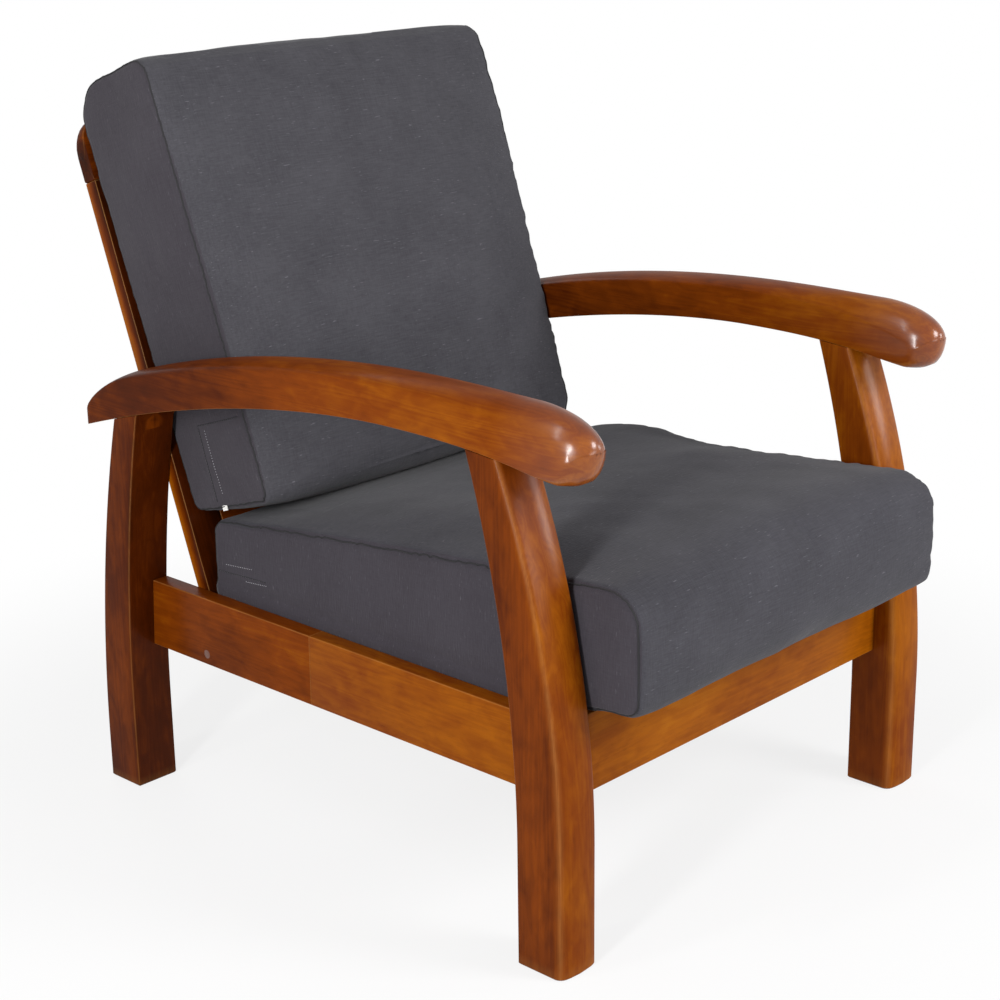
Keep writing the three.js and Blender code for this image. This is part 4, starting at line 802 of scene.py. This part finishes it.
def cushion_loop(corners):
    """A box cushion's outline seen from the side, as (point, normal, share of the crown there)."""
    arcs = rounded([corner[:3] for corner in corners], 8)
    loop = []
    for at, (point, normal, _, index) in enumerate(arcs):
        after, _, _, next_index = arcs[(at + 1) % len(arcs)]
        lift, swell = corners[index][3:5]
        loop.append((point, normal, lift))
        if next_index != index:
            parts = max(1, round((after - point).length / 9))
            for part in range(1, parts):
                share = part / parts
                level = lerp(lift, corners[next_index][3], share) + swell * math.sin(math.pi * share)
                loop.append((point.lerp(after, share), normal, level))
    return loop


def cushion_rings(corners, half, crown, spread, inset):
    """Outlines set side by side across the chair, drawn in a little where the gussets are sewn on."""
    loop = cushion_loop(corners)
    low, high = min(p.x for p, _, _ in loop), max(p.x for p, _, _ in loop)
    foot, head = min(p.y for p, _, _ in loop), max(p.y for p, _, _ in loop)
    middle = sum((p for p, _, _ in loop), Vector((0, 0))) / len(loop)
    rings = []
    for step in range(-34, 35):
        share = math.sin(step / 34 * math.pi / 2)
        across = max(0, 1 - abs(share) ** 6) ** 0.7
        ring = []
        for point, normal, lift in loop:
            along = (point.x - low) / (high - low)
            drawn = DRAW_IN * 4 * along * (1 - along) * abs(share) ** 6 * (point.y - foot) / (head - foot)
            y, z = point + normal * (crown * lift * across - inset)
            reach = half - inset + spread * (point.y - foot) / (head - foot)
            ring.append((share * reach - math.copysign(drawn, share), y, z))
        rings.append(ring)
    seams = (rings[0], rings[-1])
    for side, edge in ((-1, rings[0]), (1, rings[-1])):
        for step in (0.25, 0.5, 0.75):
            swell = GUSSET_SWELL * math.sin(step * math.pi / 2)
            ring = [(x + side * swell, lerp(y, middle.x, step), lerp(z, middle.y, step)) for x, y, z in edge]
            rings.insert(0, ring) if side < 0 else rings.append(ring)
    return rings, seams


def closest_along(paths, step=0.002):
    """A tree of points along closed paths, with each point's run along its path, in metres."""
    samples = []
    for number, path in enumerate(paths):
        run = 0.0
        for start, end in zip(path, path[1:] + path[:1]):
            length = (end - start).length
            for part in range(max(1, round(length / step))):
                share = part / max(1, round(length / step))
                samples.append((start.lerp(end, share), run + length * share + 10 * number))
            run += length
    tree = kdtree.KDTree(len(samples))
    for index, (point, _) in enumerate(samples):
        tree.insert(point, index)
    tree.balance()
    return tree, [run for _, run in samples]


def swell_cover(piece, seams, cap):
    """Blows the cover up from inside with a cloth simulation, held along its seams, as the foam fills it."""
    tree, _ = closest_along(seams)
    pins = piece.vertex_groups.new(name="seams")
    for vertex in piece.data.vertices:
        distance = tree.find(vertex.co)[2]
        if distance < 0.013:
            pins.add([vertex.index], min(1, (0.013 - distance) / 0.006), "REPLACE")
    before = [vertex.co.copy() for vertex in piece.data.vertices]
    cloth = piece.modifiers.new("cover", "CLOTH")
    settings = cloth.settings
    settings.quality = 6
    settings.mass = 0.25
    settings.tension_stiffness = 18
    settings.compression_stiffness = 14
    settings.shear_stiffness = 6
    settings.bending_stiffness = 1.2
    settings.use_pressure = True
    settings.uniform_pressure_force = 4
    settings.effector_weights.gravity = 0
    settings.vertex_group_mass = "seams"
    cloth.collision_settings.use_collision = False
    scene = bpy.context.scene
    for number in range(1, 21):
        scene.frame_set(number)
    graph = bpy.context.evaluated_depsgraph_get()
    swollen = piece.evaluated_get(graph).to_mesh()
    for vertex, start, moved in zip(piece.data.vertices, before, swollen.vertices):
        shift = moved.co - start
        vertex.co = start + shift * min(1, cap / max(shift.length, 1e-9))
    piece.modifiers.clear()
    piece.vertex_groups.clear()
    scene.frame_set(1)


def tailor(name, rings, seams, lay, cloth, body, stands_for, node, seed, crisp, bulge=None):
    """Makes a cushion: the cut shape, swollen by simulation, then its seams drawn in and its skin ruffled."""
    seams = [[lay(*point) for point in seam] for seam in seams]
    mesh = skin(name, [[(lay(*point), 0, 0) for point in ring] for ring in rings])
    mesh.attributes.remove(mesh.attributes["arris"])
    mesh.attributes.remove(mesh.attributes["stain_and_light"])
    piece = show(name, mesh, cloth, body, stands_for, 180)
    remesh = piece.modifiers.new("even", "REMESH")
    remesh.mode = "VOXEL"
    remesh.voxel_size = 0.0055
    bake_modifiers(piece)
    swell_cover(piece, seams, 0.024)
    smooth = piece.modifiers.new("fine", "SUBSURF")
    smooth.levels = 1
    smooth.render_levels = 1
    bake_modifiers(piece)
    solid = nodes[node].data
    hull = BVHTree.FromPolygons([v.co for v in solid.vertices], [p.vertices[:] for p in solid.polygons])
    tree, runs = closest_along(seams)
    normals = [vertex.normal.copy() for vertex in piece.data.vertices]
    for vertex, normal in zip(piece.data.vertices, normals):
        at = vertex.co.copy()
        _, index, distance = tree.find(at)
        run = runs[index]
        broad = noise.noise(at * 9 + Vector((seed, 0, 0))) * 0.0022 + noise.noise(at * 24 + Vector((0, seed, 0))) * 0.0008
        pucker = noise.noise(Vector((run / 0.014, distance / 0.05, seed))) + 0.6 * noise.noise(Vector((run / 0.034, 0, seed)))
        shift = broad * min(1, distance / 0.04)
        ruffle = crisp * (2.2 if at.x > 0 else 0.8)
        wave = noise.noise(Vector((run / 0.05, seed, 0)))
        shift += ruffle * (pucker * math.exp(-distance / 0.013) + wave * math.exp(-distance / 0.03))
        shift -= 0.0026 * math.exp(-((distance / 0.0034) ** 2))
        vertex.co = at + normal * shift
        if bulge:
            vertex.co += bulge(vertex.co)
        point, outward, _, gap = hull.find_nearest(vertex.co)
        allowed = lie_limit(body, point, outward)
        if (vertex.co - point).dot(outward) > 0 and gap > allowed:
            vertex.co = point + (vertex.co - point) * (allowed / gap)
        if vertex.co.z < ARMS_TOP:
            vertex.co.x = max(-CLEAR, min(CLEAR, vertex.co.x))
        low = 1 - (vertex.co.z / MM - RAIL_TOP) / 16
        if low > 0:
            out = max(0, min(1, (abs(vertex.co.x) / MM - 260) / 10))
            vertex.co.x += math.copysign(CLEAR - abs(vertex.co.x), vertex.co.x) * out * min(1, 2 * low)
        edge = max(0, min(1, (abs(vertex.co.x) / MM - 273) / 4))
        floor = (RAIL_TOP + FIT - 3 * edge) * MM
        drop = edge * max(0, min(1, (RAIL_TOP + 9 - vertex.co.z / MM) / 4))
        vertex.co.z = max(lerp(vertex.co.z, floor, drop), floor)
    piece.data.shade_smooth()
    return piece, seams


def lie_limit(body, point, outward):
    """How far a cover may stand proud of its solid: nothing where it rests on something, a little elsewhere."""
    if body == "seat_cushion":
        resting = outward.z > 0.5 and point.y > 0.09
    else:
        behind = outward.dot(Vector((0, math.cos(RAKE), -math.sin(RAKE))))
        resting = behind > 0.7
    return 0 if resting else 0.016


def tube(name, path, radius, material, body, closed=False, sides=6):
    """A thin round tube along a path, laid in the seams and along the fold as a painted shadow line."""
    rings = []
    count = len(path)
    for index, point in enumerate(path):
        before = path[index - 1] if index or closed else point
        after = path[(index + 1) % count] if index + 1 < count or closed else point
        ahead = (after - before).normalized()
        side = ahead.cross(Vector((1, 0, 0)) if abs(ahead.x) < 0.8 else Vector((0, 0, 1))).normalized()
        up = side.cross(ahead)
        turn = [math.tau * k / sides for k in range(sides)]
        rings.append([(point + (side * math.cos(a) + up * math.sin(a)) * radius, 0, 0) for a in turn])
    if closed:
        rings.append(rings[0])
    return show(name, skin(name, rings), material, body, (), 180)


def skin_tree(piece):
    """A search tree over a piece's skin."""
    mesh = piece.data
    return BVHTree.FromPolygons([v.co for v in mesh.vertices], [p.vertices[:] for p in mesh.polygons])


def on_surface(tree, path, proud):
    """Lays a path on a skin, proud of it by so much."""
    laid = []
    for point in path:
        at, normal, _, _ = tree.find_nearest(point)
        laid.append(at + normal * proud)
    return laid


def even_path(path, step, closed=True):
    """A path cut into even steps, in metres."""
    ends = path + path[:1] if closed else path
    spaced = []
    left = 0.0
    for start, end in zip(ends, ends[1:]):
        length = (end - start).length
        at = left
        while at < length:
            spaced.append(start.lerp(end, at / length))
            at += step
        left = at - length
    return spaced


def stitches(name, path, tree, pitch, length, radius, material, body, proud=0.0003):
    """A row of stitches on a piece's skin: short threads with gaps between them, in one mesh."""
    points, faces = [], []
    places = even_path(path, pitch, False)
    for centre, ahead in zip(places, places[1:]):
        start, end = on_surface(tree, [centre, centre + (ahead - centre).normalized() * length], proud)
        run = (end - start).normalized()
        side = run.cross(Vector((0, 0, 1)) if abs(run.z) < 0.8 else Vector((1, 0, 0))).normalized()
        up = side.cross(run)
        first = len(points)
        for at, size in ((start, 0.3), (start.lerp(end, 0.25), 1), (start.lerp(end, 0.75), 1), (end, 0.3)):
            for k in range(5):
                angle = math.tau * k / 5
                points.append(at + (side * math.cos(angle) + up * math.sin(angle)) * radius * size)
        for ring in range(3):
            for k in range(5):
                j = (k + 1) % 5
                base = first + ring * 5
                faces.append((base + k, base + j, base + 5 + j, base + 5 + k))
        faces.append(tuple(range(first, first + 5)))
        faces.append(tuple(range(first + 15, first + 20)))
    mesh = bpy.data.meshes.new(name)
    mesh.from_pydata(points, [], faces)
    return show(name, mesh, material, body, (), 180)


# Seat cushion: thick, with a rounded front that rolls down over the front rail, and lower at the back.
SEAT_BOTTOM = RAIL_TOP + FIT
SEAT_CORNERS = [
    (620, 367, 20, 0, 0.85),
    (-53, 431, 44, 0.35, 0.1),
    (-54, 292, 19, 0.25, 0),
    (125, SEAT_BOTTOM, 300, 0, 0),
    (620, SEAT_BOTTOM, 20, 0, 0),
]
start_inset = 1.5


def rumple(point):
    """The ridge that the far edge of the seat keeps where the back cushion presses on it."""
    along = (point.y - FACE_OF_FEET) / MM
    ridge = math.exp(-(((along - 400) / 95) ** 2)) * max(0, min(1, (point.x / MM - 60) / 190)) ** 1.5
    upper = max(0, min(1, (point.z / MM - 340) / 40))
    return Vector((0, 0, 18 * MM * ridge * upper))


rings, seams = cushion_rings(SEAT_CORNERS, 276.5, 20, 0, start_inset)
seat, seat_seams = tailor(
    "seat_cushion_sewn", rings, seams, place, seat_cloth, "seat_cushion",
    ["seat_cushion_cover", "seat_cushion_foam"], "seat_cushion_cover", 3.7, 0.0013, rumple,
)

# Back cushion: a thick slab that leans on the slats and stands on the seat cushion, fuller in front.
BACK_CORNERS = [
    (-FIT, 94, 16, 0, 0),
    (-FIT - 3, 630, 50, 0, 0.1),
    (-154, 631, 26, 0.05, 0.7),
    (-146, 87, 14, 0.35, 0.3),
]


def plump(point):
    """The far side of the back cushion, which nothing presses, is stuffed a little wider."""
    wider = 6 * max(0, min(1, (point.x / MM - 180) / 80)) * max(0, min(1, (905 - point.z / MM) / 25))
    worn = 2 * max(0, (abs(point.x) / MM - 240) / 36) ** 2 * max(0, min(1, (point.z / MM - 868) / 20))
    return Vector((wider * MM, 0, -worn * MM))


rings, seams = cushion_rings(BACK_CORNERS, 271, 24, 11, start_inset)
back, back_seams = tailor(
    "back_cushion_sewn", rings, seams, raked, back_cloth, "back_cushion",
    ["back_cushion_cover", "back_cushion_foam"], "back_cushion_cover", 8.1, 0.0013, plump,
)

seat_skin, back_skin = skin_tree(seat), skin_tree(back)
for tree, cushion_seams, label in ((seat_skin, seat_seams, "seat_cushion"), (back_skin, back_seams, "back_cushion")):
    for seam, word in zip(cushion_seams, hands):
        line = on_surface(tree, even_path(seam, 0.004), 0.0003)
        # A near black tube in each seam: painted shadow of the seam's groove.
        tube(f"{label}_seam_{word}", line, 0.001, seam_shadow, label, True)
        stitches(f"{label}_stitches_{word}", line, tree, 0.011, 0.002, 0.0003, grey_thread, label, 0.0007)

# Gusset plackets: on the side towards the window the maker joined the gussets from two pieces, with a fold and a row
# of pale stitches, near the rear of each cushion.
SIDE_OF_PLACKETS = -HALF_CLEAR
for tree, label, fold, rows in (
    (back_skin, "back_cushion", [(563, 503), (638, 478), (612, 384)], [[(625, 475), (600, 395)]]),
    (seat_skin, "seat_cushion", [(612, 301), (520, 306)], [[(596, 312), (542, 317)], [(560, 298), (519, 302)]]),
):
    line = on_surface(tree, even_path([place(SIDE_OF_PLACKETS, y, z) for y, z in fold], 0.003, False), 0.0001)
    # A near black tube along the fold: painted shadow of the fold.
    tube(f"{label}_placket_fold_shadow", line, 0.0006, seam_shadow, label)
    stitches(f"{label}_placket_ease", line, tree, 0.0034, 0.0016, 0.0004, grey_thread, label, 0.0007)
    for number, row in enumerate(rows):
        path = [place(SIDE_OF_PLACKETS, y, z) for y, z in row]
        stitches(f"{label}_placket_row_{number + 1}", path, tree, 0.0034, 0.0015, 0.0005, pale_thread, label)


# Zips: a nylon coil on woven tape, closed by zinc sliders. The coil is matt black; the label is a white satin tape.
def nylon():
    material, tree = new_material("nylon_zip")
    here = add(tree, "ShaderNodeTexCoord").outputs["Object"]
    wave = add(tree, "ShaderNodeTexWave", {"Vector": here, "Scale": 160}, bands_direction="X").outputs[1]
    inputs = {0: wave, 6: linear("#161618"), 7: linear("#3a3a3e")}
    colour = add(tree, "ShaderNodeMix", inputs, data_type="RGBA").outputs[2]
    bump = add(tree, "ShaderNodeBump", {"Strength": 0.8, "Distance": 0.0006, "Height": wave}).outputs[0]
    inputs = {"Base Color": colour, "Roughness": 0.5, "Normal": bump}
    finish_surface(tree, add(tree, "ShaderNodeBsdfPrincipled", inputs).outputs[0])
    return material


def satin():
    material, tree = new_material("white_satin_tape")
    here = add(tree, "ShaderNodeTexCoord").outputs["Object"]
    weave = add(tree, "ShaderNodeTexNoise", {"Vector": here, "Scale": 1500, "Detail": 1}).outputs[0]
    inputs = {0: weave, 6: linear("#d9d8d4"), 7: linear("#f7f6f2")}
    colour = add(tree, "ShaderNodeMix", inputs, data_type="RGBA").outputs[2]
    inputs = {"Base Color": colour, "Roughness": 0.5, "Sheen Weight": 0.2}
    finish_surface(tree, add(tree, "ShaderNodeBsdfPrincipled", inputs).outputs[0])
    return material


coil = nylon()
tape = satin()
refinish("seat_zip", coil)
refinish("back_zip", coil)
refinish("seat_zip_slider", zinc)
refinish("seat_zip_pull", zinc)
refinish("back_zip_slider", zinc)
refinish("care_label", tape)


# Studio: a white sweep under soft light. To the camera the floor is almost white and keeps the chair's shadow, and
# the room beyond it is plain white, also in the lacquer's reflections.
floor_material, tree = new_material("paper_sweep")
path = add(tree, "ShaderNodeLightPath")
paper = add(tree, "ShaderNodeBsdfDiffuse", {"Color": linear("#e9e9e9")}).outputs[0]
glow = add(tree, "ShaderNodeEmission", {"Color": linear("#ffffff"), "Strength": 1}).outputs[0]
seen = add(tree, "ShaderNodeMath", {0: path.outputs["Is Camera Ray"], 1: path.outputs["Is Glossy Ray"]}, operation="MAXIMUM")
seen = add(tree, "ShaderNodeMath", {0: seen.outputs[0], 1: path.outputs["Is Transmission Ray"]}, operation="MAXIMUM")
spot = add(tree, "ShaderNodeTexCoord").outputs["Object"]
spot = add(tree, "ShaderNodeVectorMath", {0: spot}, operation="LENGTH").outputs["Value"]
inputs = {"Value": spot, "From Min": 0.55, "From Max": 1.2, "To Min": 0.8}
faded = add(tree, "ShaderNodeMapRange", inputs, interpolation_type="SMOOTHSTEP").outputs[0]
mixed = add(tree, "ShaderNodeMath", {0: seen.outputs[0], 1: faded}, operation="MULTIPLY").outputs[0]
finish_surface(tree, add(tree, "ShaderNodeMixShader", {0: mixed, 1: paper, 2: glow}).outputs[0])
sweep_mesh = bpy.data.meshes.new("floor")
sweep_mesh.from_pydata([(-9, -9, 0), (9, -9, 0), (9, 9, 0), (-9, 9, 0)], [], [(0, 1, 2, 3)])
sweep_mesh.materials.append(floor_material)
floor = bpy.data.objects.new("floor", sweep_mesh)
bpy.context.scene.collection.objects.link(floor)

world = bpy.data.worlds.new("studio")
world.use_nodes = True
bpy.context.scene.world = world
tree = world.node_tree
tree.nodes.clear()
path = add(tree, "ShaderNodeLightPath")
seen = add(tree, "ShaderNodeMath", {0: path.outputs["Is Camera Ray"], 1: path.outputs["Is Transmission Ray"]}, operation="MAXIMUM")
seen = add(tree, "ShaderNodeMath", {0: seen.outputs[0], 1: path.outputs["Is Glossy Ray"]}, operation="MAXIMUM")
strength = add(tree, "ShaderNodeMapRange", {"Value": seen.outputs[0], "To Min": 0.26, "To Max": 1}).outputs[0]
light = add(tree, "ShaderNodeBackground", {"Color": linear("#ffffff"), "Strength": strength}).outputs[0]
add(tree, "ShaderNodeOutputWorld", {"Surface": light})


def softbox(name, direction, distance, width, height, power):
    """A soft lamp that looks at the middle of the chair from a direction."""
    lamp = bpy.data.lights.new(name, "AREA")
    lamp.shape = "ELLIPSE"
    lamp.size = width
    lamp.size_y = height
    lamp.energy = power
    box = bpy.data.objects.new(name, lamp)
    target = Vector((0, 0, 0.45))
    box.location = target + Vector(direction).normalized() * distance
    box.rotation_euler = (target - box.location).to_track_quat("-Z", "Y").to_euler()
    bpy.context.scene.collection.objects.link(box)


softbox("side_strip", (-0.9, -0.3, 0.3), 2.6, 0.3, 1.3, 45)
softbox("top_strip", (-0.62, 0.05, 0.68), 2.6, 0.2, 1.8, 12)
softbox("front_lamp", (0.27, -0.84, 0.47), 2.6, 0.95, 0.95, 38)
softbox("far_lamp", (0.72, -0.7, 0.16), 2.6, 0.4, 0.7, 7)
softbox("low_fill", (0.1, -1.0, 0.06), 2.6, 1.6, 0.5, 9)
softbox("rear_fill", (0.3, 1.0, 0.6), 2.8, 1.2, 1.2, 10)


# Camera: a long lens a little above the arms, off the chair's right front corner.
IMAGE_SIDE = 1000
FOCAL_PIXELS = 2088.30
camera_data = bpy.data.cameras.new("camera")
camera_data.sensor_width = 36
camera_data.lens = 36 * FOCAL_PIXELS / IMAGE_SIDE
camera = bpy.data.objects.new("camera", camera_data)
bpy.context.scene.collection.objects.link(camera)
YAW, PITCH, ROLL = 0.8140649, 0.3094680, -0.0139732
ahead = Vector((math.sin(YAW) * math.cos(PITCH), math.cos(YAW) * math.cos(PITCH), -math.sin(PITCH)))
level = Vector((math.cos(YAW), -math.sin(YAW), 0))
upward = level.cross(ahead)
right = level * math.cos(ROLL) + upward * math.sin(ROLL)
up = upward * math.cos(ROLL) - level * math.sin(ROLL)
turn = Matrix((right, up, -ahead)).transposed().to_4x4()
camera.matrix_world = Matrix.Translation((-1.78721, -1.29002 + FACE_OF_FEET, 1.15457)) @ turn
bpy.context.scene.camera = camera
bpy.context.scene.view_settings.view_transform = "Standard"
